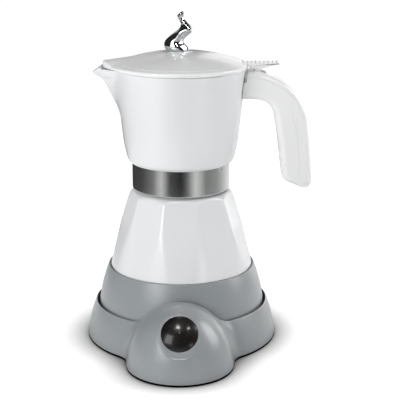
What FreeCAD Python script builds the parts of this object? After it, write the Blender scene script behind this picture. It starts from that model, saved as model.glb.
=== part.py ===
import FreeCAD, Part
import math
import os

from FreeCAD import Vector

# An electric moka pot, in millimetres. The origin is where the pot's axis meets the table.
# +Z is up, the handle is at +X, the beak at -X and the button lobe at -Y.

# Power base
foot_height = 1.6
base_flare = 9.8
base_tuck = 1.9
belly_drop = 1.9
groove_rise = 3.6
rim_width = 1.7
rim_rise = 14.2
rim_round = 0.9
base_wall = 2.4
floor_height = 15.0
floor_thickness = 2.4
cover_thickness = 2.4
cover_gap = 0.3
foot_ring_inset = 11.0
foot_ring_width = 6.0
front_foot_out = 28.0
front_foot_radius = 6.0
foot_sunk = 0.6
foot_gap = 0.15
post_radius = 3.6
base_post_inset = 18.0

# Front lobe and its button
lobe_inset = 2.0
lobe_radius = 40.5
lobe_rise = 22.8
button_tilt = 37.0
button_sunk = 3.26
button_raised = 1.5
button_radius = 13.3
button_gap = 0.35
dish_margin = 5.3
boss_wall = 2.2
boss_depth = 5.0
button_travel = 2.0
lens_wall = 1.5
lens_rise = 3.6
lens_rim = 0.8
lens_skirt = 1.8
carrier_inset = 0.6
carrier_gap = 0.3
carrier_plate = 1.5
carrier_skirt = 5.6
guide_length = 9.0
guide_wall = 1.6
plate_end = 2.0
plunger_radius = 3.2
plunger_gap = 0.6
plunger_reach = 1.5
window_out = 8.2
window_radius = 2.4
button_spring_radius = 5.2
button_spring_wire = 0.8
button_spring_turns = 5
ear_overlap = 1.0
ear_radius = 3.4
board_half_length = 15.5
board_half_width = 10.5
board_thickness = 1.6
board_drop = 9.0
board_post_radius = 2.6
board_post_out = 11.2
switch_half_length = 6.0
switch_half_width = 4.5
switch_height = 4.6
switch_nub = 1.4
lamp_radius = 1.6
lamp_lead = 0.5

# Centre connector
flange_width = 7.0
connector_screw_in = 3.0
boss_margin = 3.4
boss_height = 3.0
boss_gap = 0.6
spigot_radius = 9.0
spigot_height = 7.0
bush_clearance = 0.05
bush_wall = 2.0
bush_lift = 0.1
socket_gap = 0.3
socket_wall = 4.4
socket_flange_width = 6.0
socket_flange_thickness = 3.0
socket_headroom = 0.8
pin_bore = 2.4
pin_radius = 1.5
pin_below = 0.6
ring_margin = 2.25
ring_wall = 0.6
ring_slot = 1.8
ring_depth = 6.0
ring_dip = 5.0
sleeve_length = 6.0
liner_wall = 0.25
contact_gap = 0.05

# Cord inlet at the back of the base
inlet_bore = 3.3
inlet_wall = 1.5
inlet_lip = 1.0
inlet_flange = 1.6
inlet_grip = 2.2
inlet_inner_lip = 1.4
inlet_out = 1.4
inlet_drop = 3.6
clamp_in = 14.0
clamp_length = 8.0
clamp_half_width = 11.0
clamp_screw_out = 7.4
clamp_web = 4.6

# Pot housing
housing_radius = 65.2
housing_height = 43.2
housing_knee_rise = 15.0
housing_tuck = 3.3
housing_belly_rise = 30.8
housing_lip = 1.2
housing_wall = 2.4
well_gap = 1.4
seat_gap = 0.3
plate_thickness = 2.4
plate_gap = 0.2
shelf_rise = 23.4
shelf_thickness = 2.4
shelf_gap = 1.5
seal_thickness = 1.0
seal_width = 1.7
seal_gap = 0.1
boiler_gap = 0.256
housing_post_inset = 7.2

# Boiler
boiler_inset = 9.2
boiler_lip = 1.0
cone_flare = 12.8
cone_rise = 41.8
facet_count = 10
facet_foot_rise = 1.8
facet_cut = 2.32
drum_inset = 3.0
boiler_wall = 3.0
shoulder_rise = 53.8
shoulder_drop = 7.6
neck_rise = 61.4
neck_height = 16.4
neck_radius = 33.0
neck_wall = 3.0
thread_pitch = 3.0
thread_depth = 0.8
thread_gap = 0.4
thread_turns = 2.25
thread_root = 0.3
heater_inset = 7.0
heater_thickness = 4.0
element_inset = 10.0
element_radius = 3.8
element_sweep = 310.0
terminal_radius = 1.6
terminal_length = 7.0
thermostat_radius = 8.5
thermostat_height = 8.0
thermostat_ear = 13.0
thermostat_ear_width = 8.0
thermostat_ear_thickness = 1.2
fuse_radius = 2.0
fuse_half_length = 7.0
fuse_gap = 9.5
lead_radius = 0.5

# Safety valve on the back facet of the boiler
valve_rise = 37.8
valve_stem = 4.0
valve_reach = 6.0
valve_hex = 6.2
valve_head = 6.0
valve_bore = 2.4
valve_mouth = 1.2
valve_cap = 1.5
valve_plug = 2.1
valve_plug_height = 1.2
valve_pin_radius = 1.3
valve_pin_out = 8.4
valve_seat_gap = 0.05
valve_wire = 0.4
valve_coil = 1.8
valve_turns = 6
valve_clearance = 0.08

# Funnel, gasket and upper filter
bowl_gap = 0.5
sheet = 0.8
bowl_depth = 20.0
cone_depth = 6.5
stem_radius = 5.6
stem_clear = 6.0
plate_hole = 1.0
plate_margin = 6.0
gasket_height = 3.9
gasket_width = 6.8
gasket_gap = 0.3
filter_thickness = 0.8
filter_hole = 0.8
filter_margin = 7.3
hole_rings = 4

# Jug: each pair is a distance out from the foot's radius and a height above the jug's bottom
jug_lip = 0.5
jug_foot_margin = 0.9
jug_curl = (2.6, 3.4)
jug_hip = (4.5, 11.0)
jug_waist = (6.1, 21.5)
jug_flare = 11.5
jug_height = 72.7
jug_wall = 2.0
jug_floor_thickness = 4.0
under_gap = 0.2
chamber_inset = 1.5
chamber_depth = 1.5
collar_rise = 2.0
collar_wall = 2.2
band_gap = 0.2
band_wall = 1.0
band_rise = 1.0
lip_gap = 0.3
column_radius = 6.0
column_top_radius = 5.0
column_bore = 3.2
column_height = 46.0
column_flange = 9.0
column_spigot = 4.6
column_gap = 0.1
cap_wall = 1.5
cap_grip = 4.0
cap_chamber = 5.0
cap_window = 2.4

# Beak: heights and the tip's distances are given from the rim, with the half angle where it leaves the jug
beak_rows = ((-34.2, -4.2, 9.0), (-27.2, -0.5, 15.0), (-17.2, 4.6, 19.0), (-9.2, 8.8, 21.5),
             (-5.2, 13.6, 22.5), (-2.7, 17.0, 23.0), (2.8, 18.2, 23.0))
beak_nose = 4.5
beak_nose_inside = 2.6
beak_shoulder = 9.9
beak_lip = 1.8
beak_tip = (17.0, -2.8)
beak_inner_turn = 2.2

# Lid: heights are given from its lower edge
lid_overhang = 1.0
lid_gap = 0.4
lid_edge = 2.7
lid_dome = 141.0
lid_wall = 2.2
lid_flange_wall = 1.4
lid_flange_depth = 3.0
lid_flange_gap = 1.0
flange_notch = 18.0
nose_out = 8.0
nose_round = 8.0
nose_angle = 32.0
nose_rise = 5.2
nose_start = 2.0
nose_radius = 20.0
pad_margin = 0.8
pad_rise = 0.1
screw_boss = 4.6
screw_boss_depth = 3.0

# Knob: heights above its foot with the centre's offset and the half widths across X and Y
knob_rows = ((0.0, -1.5, 8.3, 6.4), (2.4, -2.7, 9.0, 6.6), (4.6, -3.8, 8.5, 6.4), (6.8, -4.6, 7.5, 5.9),
             (9.0, -3.9, 6.9, 5.4), (11.2, -1.7, 6.6, 5.1), (13.4, 1.0, 6.4, 4.9), (15.3, 3.0, 5.9, 4.6),
             (17.2, 4.2, 5.2, 4.2), (19.1, 4.3, 4.2, 3.5), (20.9, 3.4, 3.2, 2.8), (22.8, 2.0, 2.5, 2.3),
             (25.0, 0.7, 2.3, 2.1), (26.8, 0.3, 2.4, 2.0), (28.4, 0.9, 2.0, 1.7), (29.9, 1.7, 1.1, 0.9))
knob_screw_reach = 5.3

# Hinge and thumb lever
hinge_margin = 8.6
hinge_drop = 4.6
barrel_radius = 3.2
barrel_half_width = 5.5
barrel_gap = 0.4
barrel_neck = 2.5
hinge_pin_radius = 1.5
pin_clearance = 0.05
pin_reach = 9.2
pin_end_gap = 0.2
recess_reach = 6.2
recess_drop = 0.2
lever_half_width = 7.0
lever_notch_gap = 0.15
lever_overlap = 4.4
lever_seat_rise = 1.5
lever_under_drop = 0.3
lever_top_rise = 3.7
lever_reach = 16.4
lever_ribs = 9
lever_rib_pitch = 3.2
lever_rib_radius = 0.5

# Handle: its outlines are given from the jug's rim
handle_back = ((-6.4, -1.6), (-0.4, -1.6), (5.6, -1.6), (12.1, -2.6), (20.1, -5.6), (29.9, -10.9),
               (38.6, -18.9), (44.4, -28.8), (47.4, -42.2), (49.2, -57.2), (50.4, -72.2), (51.3, -87.2),
               (51.7, -96.4))
handle_front = ((28.3, -86.2), (27.1, -75.8), (25.7, -65.0), (24.6, -55.2), (23.3, -46.0), (21.6, -37.0),
                (19.2, -29.9), (16.2, -26.2), (11.6, -24.0), (4.6, -23.2), (-2.4, -23.1), (-6.4, -23.1))
cover_foot = ((42.6, -86.9), (41.4, -86.4), (41.1, -85.0))
cover_side = ((39.6, -55.0), (33.4, -27.4))
cover_far = ((38.4, -10.5), (64.0, -10.5), (64.0, -95.0), (52.0, -90.8))
handle_half_width = 12.0
handle_round = 5.5
handle_corner = 6.0
handle_gap = 0.3
handle_wall = 2.6
slit_drop = 9.7
slit_width = 1.4
lug_reach = 13.6
lug_half_width = 6.0
lug_drop = 10.0
lug_height = 10.4
lug_gap = 0.2
lug_screw_inset = 2.3
web = 3.0
seam_gap = 0.08

# Screws
screw_radius = 1.4
screw_head = 2.7
screw_head_height = 1.3
screw_clearance = 0.1
screw_hole_gap = 0.3
screw_seat_gap = 0.1

UP = Vector(0, 0, 1)
ORIGIN = Vector(0, 0, 0)

# Sizes of the base that follow from the ones above
well_radius = housing_radius + well_gap
well_wall_radius = well_radius + base_wall
rim_radius = well_radius + rim_width
base_radius = housing_radius + base_flare
base_belly = base_radius - base_tuck
foot_ring_radius = base_radius - foot_ring_inset
base_post_ring = base_radius - base_post_inset
lobe_centre = base_radius - lobe_inset
belly_height = floor_height - belly_drop
groove_top = floor_height + groove_rise
rim_height = floor_height + rim_rise
lobe_height = rim_height + lobe_rise
floor_under = floor_height - floor_thickness
cover_top = foot_height + cover_thickness
boss_top = floor_height + boss_height
spigot_top = boss_top + spigot_height
bush_inner = spigot_radius + bush_clearance
bush_outer = bush_inner + bush_wall
socket_bore = bush_outer + socket_gap
ring_radius = socket_bore + ring_margin
boss_radius = ring_radius + boss_margin
flange_radius = boss_radius + flange_width
connector_screw_ring = flange_radius - connector_screw_in
pin_bottom = floor_under - pin_below
inlet_up = floor_under - inlet_drop
inlet_collar = inlet_bore + inlet_wall + inlet_lip + seat_gap
clamp_seat = floor_under - clamp_web
screw_sunk = screw_head_height + screw_seat_gap

# The button's centre lies under the point of the lobe that faces along the button's axis
lean_out = lobe_radius * math.cos(math.radians(button_tilt))
lean_up = lobe_height * math.sin(math.radians(button_tilt))
lean = math.hypot(lean_out, lean_up)
button_out = (lobe_centre + lobe_radius * lean_out / lean - button_sunk * math.cos(math.radians(button_tilt))
              - button_raised * math.sin(math.radians(button_tilt)))
button_up = (lobe_height * lean_up / lean - button_sunk * math.sin(math.radians(button_tilt))
             + button_raised * math.cos(math.radians(button_tilt)))
dish_radius = button_radius + dish_margin
carrier_radius = button_radius - carrier_inset
guide_inner = carrier_radius + carrier_gap
guide_outer = guide_inner + guide_wall
guide_end = -boss_depth - guide_length
button_plate_end = guide_end - plate_end
board_depth = -button_plate_end + board_drop
ear_out = guide_outer + ear_radius - ear_overlap
carrier_top = -lens_skirt
carrier_under = carrier_top - carrier_plate

# Sizes of the pot that follow
boiler_base_radius = housing_radius - boiler_inset
cone_top_radius = neck_radius + cone_flare
cone_slope = (boiler_base_radius - cone_top_radius) / cone_rise
housing_mouth_radius = boiler_base_radius + cone_slope * boiler_lip + boiler_gap
housing_top_radius = housing_mouth_radius + housing_lip
housing_knee = floor_height + housing_knee_rise
housing_belly = housing_radius - housing_tuck
housing_belly_height = floor_height + housing_belly_rise
housing_top = floor_height + housing_height
housing_post_ring = housing_radius - housing_post_inset
plate_bottom = floor_height + seat_gap
plate_top = plate_bottom + plate_thickness
shelf_height = floor_height + shelf_rise
boiler_bottom = shelf_height + shelf_thickness + seal_thickness + 2 * seal_gap
drum_radius = boiler_base_radius - drum_inset
boiler_screw_ring = drum_radius - seal_width - screw_radius - seat_gap
heater_radius = drum_radius - heater_inset
shelf_inner = heater_radius + shelf_gap
heater_bottom = boiler_bottom - heater_thickness
element_ring = heater_radius - element_inset
thermostat_bottom = heater_bottom - thermostat_height
fuse_out = thermostat_radius + fuse_gap + fuse_radius
socket_recess = boss_radius + boss_gap
socket_radius = socket_recess + socket_wall
socket_flange = socket_radius + socket_flange_width
socket_screw_ring = socket_radius + socket_flange_width / 2
socket_top = thermostat_bottom - seat_gap
cone_top_height = housing_top + cone_rise
facet_foot_height = housing_top + facet_foot_rise
shoulder_start = housing_top + shoulder_rise
shoulder_height = shoulder_start + shoulder_drop
neck_top = shoulder_height + neck_height
valve_height = housing_top + valve_rise
mouth_radius = neck_radius - neck_wall
bowl_outer = mouth_radius - bowl_gap
bowl_inner = bowl_outer - sheet
bowl_bottom = neck_top - bowl_depth
valve_floor = 2 - valve_reach
stem_bottom = boiler_bottom + boiler_wall + stem_clear
plate_pitch = (bowl_inner - seat_gap - plate_margin) / hole_rings
rim_top = neck_top + sheet
gasket_outer = neck_radius + gasket_gap
gasket_inner = gasket_outer - gasket_width
gasket_bottom = rim_top + gasket_gap
filter_bottom = gasket_bottom + gasket_height
filter_pitch = (gasket_inner - filter_margin) / hole_rings

# Sizes of the jug, lid and handle that follow
thread_crest = neck_radius + thread_depth
collar_crest = thread_crest + thread_gap
collar_bore = collar_crest + thread_depth / 2
collar_outer = collar_bore + collar_wall
collar_bottom = shoulder_height + collar_rise
band_inner = collar_outer + band_gap
band_outer = band_inner + band_wall
band_bottom = shoulder_height + band_rise
chamber_radius = gasket_inner - chamber_inset
jug_underside = filter_bottom + filter_thickness + under_gap
jug_bottom = jug_underside - jug_lip
jug_floor = jug_underside + jug_floor_thickness
jug_foot_radius = band_outer + jug_foot_margin
jug_curl_radius, jug_curl_height = jug_foot_radius + jug_curl[0], jug_bottom + jug_curl[1]
jug_hip_radius, jug_hip_height = jug_foot_radius + jug_hip[0], jug_bottom + jug_hip[1]
jug_waist_radius, jug_waist_height = jug_foot_radius + jug_waist[0], jug_bottom + jug_waist[1]
jug_rim_radius, jug_top = jug_foot_radius + jug_flare, jug_bottom + jug_height
lid_bottom = jug_top + lid_gap
lid_radius = jug_rim_radius + lid_overhang
lid_crown = lid_bottom + lid_edge + lid_dome - math.sqrt(lid_dome ** 2 - lid_radius ** 2)
nose_tip = jug_rim_radius + lid_overhang + nose_out
nose_top = lid_bottom + nose_rise
pad_radius = knob_rows[0][2] + pad_margin
hinge_out = jug_rim_radius + hinge_margin
hinge_up = jug_top - hinge_drop
lever_root = lid_radius - lever_overlap
lever_tip = hinge_out + lever_reach
lever_seat = lid_bottom + lever_seat_rise
lever_under = lid_bottom - lever_under_drop
lever_top = lid_bottom + lever_top_rise
slit_bottom = jug_top - slit_drop
lug_end = jug_rim_radius + lug_reach
lug_high = jug_top - lug_drop
lug_low = lug_high - lug_height
handle_screw_heights = (lug_low + lug_screw_inset, lug_high - lug_screw_inset)

def step_edges(start, steps):
    """Edges in the XZ plane: a step is one point for a line, two for an arc, more for a smooth curve."""
    edges = []
    here = start
    for step in steps:
        points = [here] + (list(step) if isinstance(step[0], tuple) else [step])
        places = [Vector(x, 0, z) for x, z in points]
        if len(places) > 3:
            curve = Part.BSplineCurve()
            curve.interpolate(places)
        else:
            curve = Part.Arc(*places) if len(places) == 3 else Part.LineSegment(*places)
        edges.append(curve.toShape())
        here = points[-1]
    return edges, here


def outline(start, *steps):
    """A closed face in the XZ plane, from lines and arcs."""
    edges, end = step_edges(start, steps)
    if end != start:
        edges += step_edges(end, [start])[0]
    return Part.Face(Part.Wire(edges))


def spin(start, *steps):
    """A solid turned about the Z axis from a closed outline of (radius, height)."""
    return outline(start, *steps).revolve(ORIGIN, UP, 360)


def draw_out(face, half_width):
    """An XZ face drawn out evenly to both sides along Y."""
    moved = face.copy()
    moved.translate(Vector(0, -half_width, 0))
    return moved.extrude(Vector(0, 2 * half_width, 0))


def slab(half_width, start, *steps):
    return draw_out(outline(start, *steps), half_width)


def cap_middle(radius, edge, rise):
    """The middle point of a round dome's outline, from its edge on a radius to its top on the axis."""
    sphere = (radius ** 2 + rise ** 2) / (2 * rise)
    half = math.asin(radius / sphere) / 2
    return sphere * math.sin(half), edge + rise - sphere + sphere * math.cos(half)


def drum(radius, low, high, x=0.0, y=0.0):
    return Part.makeCylinder(radius, high - low, Vector(x, y, low), UP)


def tube(inner, outer, low, high, x=0.0, y=0.0):
    return drum(outer, low, high, x, y).cut(drum(inner, low - 1, high + 1, x, y))


def bar_x(radius, x0, x1, y, z):
    return Part.makeCylinder(radius, x1 - x0, Vector(x0, y, z), Vector(1, 0, 0))


def bar_y(radius, y0, y1, x, z):
    return Part.makeCylinder(radius, y1 - y0, Vector(x, y0, z), Vector(0, 1, 0))


def block(x0, x1, y0, y1, z0, z1):
    return Part.makeBox(x1 - x0, y1 - y0, z1 - z0, Vector(x0, y0, z0))


def polar(radius, degrees):
    angle = math.radians(degrees)
    return radius * math.cos(angle), radius * math.sin(angle)


def spots(count, radius, first_degrees):
    """Evenly spaced places on a ring about the pot's axis."""
    return [polar(radius, first_degrees + 360.0 * k / count) for k in range(count)]


def on_button_axis(shape):
    """Moves a shape built on +Z to the button's axis, with Z = 0 at the dish and +Z outward."""
    placed = shape.copy()
    placed.rotate(ORIGIN, Vector(1, 0, 0), 90 - button_tilt)
    placed.translate(Vector(0, -button_out, button_up))
    return placed


def on_valve_axis(shape):
    """Moves a shape built on +Z to the back facet of the boiler, +Z outward."""
    placed = shape.copy()
    placed.rotate(ORIGIN, Vector(1, 0, 0), facet_tilt - 90)
    placed.translate(Vector(0, facet_radius(valve_height), valve_height))
    return placed


def coil(radius, wire, low, high, turns):
    """A compression spring between two heights: one unbroken wire on half-turn arcs."""
    rise = (high - low - wire) / turns
    edges = []
    for k in range(2 * turns):
        ends = []
        for share in (k, k + 0.5, k + 1):
            x, y = polar(radius, 180 * share)
            ends.append(Vector(x, y, low + wire / 2 + share * rise / 2))
        edges.append(Part.Arc(*ends).toShape())
    path = Part.Wire(edges)
    start = path.OrderedEdges[0]
    tangent = start.tangentAt(start.FirstParameter)
    section = Part.Wire(Part.Circle(start.valueAt(start.FirstParameter), tangent, wire / 2).toShape())
    least = round(coil_gap(radius, rise, turns, wire), 2)
    print("coil of radius", radius, "has a least gap to itself of", least)
    return path.makePipeShell([section], True, False)


def coil_gap(radius, rise, turns, wire):
    """The least distance between neighbouring turns, measured on points along the wire."""
    steps = 24
    points = []
    for k in range(turns * steps + 1):
        x, y = polar(radius, 360.0 * k / steps)
        points.append(Vector(x, y, rise * k / steps))
    pairs = ((a, b) for a in range(len(points)) for b in range(a + steps // 2, len(points)))
    return min(points[a].distanceToPoint(points[b]) for a, b in pairs) - wire


def screw(x, y, seat, length):
    """A pan-head screw pointing up: its head's flat side is at seat, its shank ends length above."""
    head = drum(screw_head, seat - screw_head_height, seat, x, y)
    return head.fuse(drum(screw_radius, seat - 0.5, seat + length, x, y)).removeSplitter()


def screw_hole(x, y, low, high):
    return drum(screw_radius + screw_clearance, low, high, x, y)


def head_hole(x, y, low, high):
    return drum(screw_head + screw_hole_gap, low, high, x, y)


def save(node, shape):
    shape.exportStep("parts/" + node + ".step")
    print(node, "solids", len(shape.Solids), "volume", round(shape.Volume), shape.isValid())


# Power base

def base_outer():
    nick = rim_round * (1 - math.sqrt(0.5))
    return spin((0, foot_height), (base_radius, foot_height),
                ((base_belly, belly_height), (rim_radius, rim_height - rim_round)),
                ((rim_radius - nick, rim_height - nick), (rim_radius - rim_round, rim_height)),
                (0, rim_height))


def half_ellipsoid(radius, height):
    """The lobe: an ellipsoid's upper half standing in front of the pot, from the table up."""
    side = Vector(radius, 0, 0)
    top = Vector(0, 0, height)
    long_way = top if height > radius else side
    short_way = side if height > radius else top
    curve = Part.ArcOfEllipse(Part.Ellipse(long_way, short_way, ORIGIN), 0, math.pi / 2).toShape()
    flat = Part.LineSegment(ORIGIN, side).toShape()
    axis = Part.LineSegment(top, ORIGIN).toShape()
    dome = Part.Face(Part.Wire([flat, curve, axis])).revolve(ORIGIN, UP, 360)
    dome.translate(Vector(0, -lobe_centre, 0))
    return dome


def base_shell():
    below = drum(2 * lobe_radius, -1, foot_height, 0, -lobe_centre)
    shell = base_outer().fuse(half_ellipsoid(lobe_radius, lobe_height).cut(below))
    shell = shell.cut(drum(well_radius, floor_height, lobe_height + 10))
    belly = spin((0, 0), (base_radius - base_wall, 0), (base_radius - base_wall, cover_top),
                 (base_belly - base_wall, belly_height), (well_wall_radius, groove_top),
                 (well_wall_radius, floor_under), (0, floor_under))
    hollow = half_ellipsoid(lobe_radius - base_wall, lobe_height - base_wall)
    hollow = hollow.cut(drum(well_wall_radius, floor_under, lobe_height))
    hollow = hollow.cut(on_button_axis(drum(dish_radius + boss_wall, -boss_depth, boss_depth)))
    shell = shell.cut(hollow).cut(belly)
    guide = tube(guide_inner, guide_outer, guide_end, -boss_depth + 1)
    guide = guide.fuse([drum(ear_radius, guide_end, -boss_depth + 1, side * ear_out) for side in (-1, 1)])
    guide = guide.cut(drum(guide_inner, guide_end - 1, 0))
    shell = shell.fuse(on_button_axis(guide))
    shell = shell.cut(on_button_axis(drum(dish_radius, 0, boss_depth * 4)))
    shell = shell.cut(on_button_axis(drum(button_radius + button_gap, -boss_depth, boss_depth)))
    pilots = [on_button_axis(screw_hole(side * ear_out, 0, guide_end - 1, guide_end + 6)) for side in (-1, 1)]
    posts = [drum(post_radius, cover_top, floor_under + 1, x, y) for x, y in spots(4, base_post_ring, 45)]
    shell = shell.fuse(posts)
    pilots += [screw_hole(x, y, cover_top - 1, floor_under - 1.5) for x, y in spots(4, base_post_ring, 45)]
    pilots += [screw_hole(x, y, floor_under - 1, floor_height - 0.5)
               for x, y in spots(3, connector_screw_ring, 90) + clamp_screw_places()]
    shell = shell.cut(drum(boss_radius + contact_gap, floor_under - 1, floor_height + 1))
    groove = base_belly - inlet_grip
    inlet = [bar_y(inlet_bore + inlet_wall + contact_gap, groove, base_radius + 5, 0, inlet_up),
             bar_y(inlet_collar, base_belly, base_radius + 5, 0, inlet_up),
             bar_y(inlet_collar, well_wall_radius - 1, groove, 0, inlet_up)]
    return shell.cut(pilots + inlet).removeSplitter()


def base_cover():
    cover = drum(base_radius - base_wall - cover_gap, foot_height, cover_top)
    cover = cover.fuse(drum(lobe_radius - base_wall - 2 * cover_gap, foot_height, cover_top, 0, -lobe_centre))
    inner = foot_ring_radius - foot_ring_width / 2 - foot_gap
    outer = foot_ring_radius + foot_ring_width / 2 + foot_gap
    cuts = [tube(inner, outer, 0, foot_height + foot_sunk),
            drum(front_foot_radius + foot_gap, 0, foot_height + foot_sunk, 0, -lobe_centre - front_foot_out),
            bar_y(inlet_collar, well_wall_radius - 1, base_radius, 0, inlet_up)]
    for x, y in spots(4, base_post_ring, 45):
        cuts.append(head_hole(x, y, 0, foot_height + screw_sunk))
        cuts.append(screw_hole(x, y, 0, cover_top + 1))
    return cover.cut(cuts).removeSplitter()


def feet():
    ring = tube(foot_ring_radius - foot_ring_width / 2, foot_ring_radius + foot_ring_width / 2,
                0, foot_height + foot_sunk)
    return ring, drum(front_foot_radius, 0, foot_height + foot_sunk, 0, -lobe_centre - front_foot_out)


def base_screws():
    seat = foot_height + screw_sunk
    return Part.makeCompound([screw(x, y, seat, 7) for x, y in spots(4, base_post_ring, 45)])


def base_connector():
    body = drum(flange_radius, floor_under - floor_thickness, floor_under)
    body = body.fuse(drum(boss_radius, floor_under - 1, boss_top))
    body = body.fuse(drum(spigot_radius, boss_top - 1, spigot_top))
    slot = tube(ring_radius - ring_slot / 2, ring_radius + ring_slot / 2, boss_top - ring_depth, boss_top + 1)
    holes = [screw_hole(x, y, 0, floor_under + 1) for x, y in spots(3, connector_screw_ring, 90)]
    return body.cut([slot, drum(pin_bore, pin_bottom - 0.5, spigot_top + 1)] + holes).removeSplitter()


def connector_screws():
    seat = floor_under - floor_thickness
    return Part.makeCompound([screw(x, y, seat, 4) for x, y in spots(3, connector_screw_ring, 90)])


def base_contacts():
    sleeve = tube(pin_radius + 0.2, pin_bore - contact_gap, pin_bottom, pin_bottom + sleeve_length)
    outer = ring_radius + ring_slot / 2 - contact_gap
    liner = tube(outer - liner_wall, outer, boss_top - ring_depth + 0.1, boss_top - 0.5)
    return Part.makeCompound([sleeve, liner])


def cord_inlet():
    outer = inlet_bore + inlet_wall
    face = base_belly + contact_gap
    back = base_belly - inlet_grip - contact_gap
    start = back - inlet_inner_lip
    end = face + inlet_flange + inlet_out
    body = bar_y(outer, start, end, 0, inlet_up)
    flange = bar_y(outer + inlet_lip, face, face + inlet_flange, 0, inlet_up)
    inner = bar_y(outer + inlet_lip, start, back, 0, inlet_up)
    return body.fuse([flange, inner]).cut(bar_y(inlet_bore, start - 1, end + 1, 0, inlet_up)).removeSplitter()


def clamp_screw_places():
    return [(side * clamp_screw_out, base_radius - clamp_in - clamp_length / 2) for side in (-1, 1)]


def cord_clamp():
    """A saddle under the well floor, with a channel through it in line with the inlet."""
    y1 = base_radius - clamp_in
    y0 = y1 - clamp_length
    saddle = block(-clamp_half_width, clamp_half_width, y0, y1, cover_top + seat_gap, floor_under)
    cuts = [bar_y(inlet_bore, y0 - 1, y1 + 1, 0, inlet_up),
            block(-inlet_bore, inlet_bore, y0 - 1, y1 + 1, inlet_up, floor_under + 1)]
    for x, y in clamp_screw_places():
        cuts.append(head_hole(x, y, cover_top, clamp_seat))
        cuts.append(screw_hole(x, y, cover_top, floor_under + 1))
    return saddle.cut(cuts)


def clamp_screws():
    return Part.makeCompound([screw(x, y, clamp_seat, 6) for x, y in clamp_screw_places()])


# Button, on its own axis

def button_lens():
    inner = button_radius - lens_wall
    inner_edge = lens_rim - lens_wall
    shape = spin((inner, carrier_top), (button_radius, carrier_top), (button_radius, lens_rim),
                 (cap_middle(button_radius, lens_rim, lens_rise), (0, lens_rim + lens_rise)),
                 (0, inner_edge + lens_rise), (cap_middle(inner, inner_edge, lens_rise), (inner, inner_edge)))
    return on_button_axis(shape)


def button_carrier():
    inner = carrier_radius - lens_wall
    skirt = carrier_under - carrier_skirt
    shape = spin((0, carrier_top), (carrier_radius, carrier_top), (carrier_radius, skirt), (inner, skirt),
                 (inner, carrier_under), (0, carrier_under))
    shape = shape.fuse(drum(plunger_radius, button_plate_end - plunger_reach, carrier_under + 0.5))
    return on_button_axis(shape.cut(drum(window_radius, carrier_under - 1, carrier_top + 1, 0, window_out)))


def button_spring():
    return on_button_axis(coil(button_spring_radius, button_spring_wire, guide_end, carrier_under - 0.02,
                               button_spring_turns))


def button_plate():
    shape = drum(guide_outer, button_plate_end, guide_end)
    shape = shape.fuse([drum(ear_radius, button_plate_end, guide_end, side * ear_out) for side in (-1, 1)])
    posts = [drum(board_post_radius, -board_depth, guide_end - 1, side * board_post_out) for side in (-1, 1)]
    holes = [screw_hole(side * ear_out, 0, button_plate_end - 1, guide_end + 1) for side in (-1, 1)]
    holes += [screw_hole(side * board_post_out, 0, -board_depth - 1, -board_depth + 4) for side in (-1, 1)]
    holes.append(drum(plunger_radius + plunger_gap, button_plate_end - 1, guide_end + 1))
    holes.append(drum(window_radius, button_plate_end - 1, guide_end + 1, 0, window_out))
    return on_button_axis(shape.fuse(posts).cut(holes).removeSplitter())


def switch_board():
    low = -board_depth - board_thickness
    shape = block(-board_half_length, board_half_length, -board_half_width, board_half_width,
                  low, -board_depth)
    holes = [screw_hole(side * board_post_out, 0, low - 1, -board_depth + 1) for side in (-1, 1)]
    return on_button_axis(shape.cut(holes))


def push_switch():
    top = -board_depth + switch_height
    body = block(-switch_half_length, switch_half_length, -switch_half_width, switch_half_width,
                 -board_depth, top)
    nub = drum(switch_nub, top - 1, button_plate_end - plunger_reach - button_travel - 0.2)
    return on_button_axis(body.fuse(nub).removeSplitter())


def indicator_lamp():
    edge = button_plate_end + 0.5
    turn = lamp_radius * math.sqrt(0.5)
    bulb = spin((0, -board_depth + 5), (lamp_radius, -board_depth + 5), (lamp_radius, edge),
                ((turn, edge + turn), (0, edge + lamp_radius)))
    bulb = bulb.fuse(drum(lamp_lead, -board_depth, -board_depth + 6))
    bulb.translate(Vector(0, window_out, 0))
    return on_button_axis(bulb.removeSplitter())


def button_screws():
    plate = [screw(side * ear_out, 0, button_plate_end, 7) for side in (-1, 1)]
    board = [screw(side * board_post_out, 0, -board_depth - board_thickness, 5) for side in (-1, 1)]
    return on_button_axis(Part.makeCompound(plate + board))


# Pot: housing and heater

def lower_housing():
    wall = housing_wall
    shape = spin((housing_radius, floor_height), (housing_radius, housing_knee),
                 ((housing_belly, housing_belly_height), (housing_top_radius, housing_top)),
                 (housing_mouth_radius, housing_top), (housing_mouth_radius, housing_top - wall - 0.2),
                 ((housing_belly - wall, housing_belly_height - 0.6), (housing_radius - wall, housing_knee)),
                 (housing_radius - wall, floor_height))
    shelf = tube(shelf_inner, housing_belly, shelf_height, shelf_height + shelf_thickness)
    posts = [drum(post_radius, plate_top, shelf_height + 1, x, y) for x, y in spots(4, housing_post_ring, 0)]
    holes = [screw_hole(x, y, plate_top - 1, plate_top + 10) for x, y in spots(4, housing_post_ring, 0)]
    holes += [screw_hole(x, y, shelf_height - 1, shelf_height + 5)
              for x, y in spots(3, boiler_screw_ring, 30)]
    return shape.fuse([shelf] + posts).cut(holes).removeSplitter()


def housing_bottom():
    plate = tube(socket_recess, housing_radius - housing_wall - plate_gap, plate_bottom, plate_top)
    holes = []
    for x, y in spots(4, housing_post_ring, 0) + spots(3, socket_screw_ring, 90):
        holes.append(head_hole(x, y, plate_bottom - 1, plate_bottom + screw_sunk))
        holes.append(screw_hole(x, y, plate_bottom - 1, plate_top + 1))
    return plate.cut(holes)


def housing_screws():
    seat = plate_bottom + screw_sunk
    return Part.makeCompound([screw(x, y, seat, 7) for x, y in spots(4, housing_post_ring, 0)])


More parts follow.
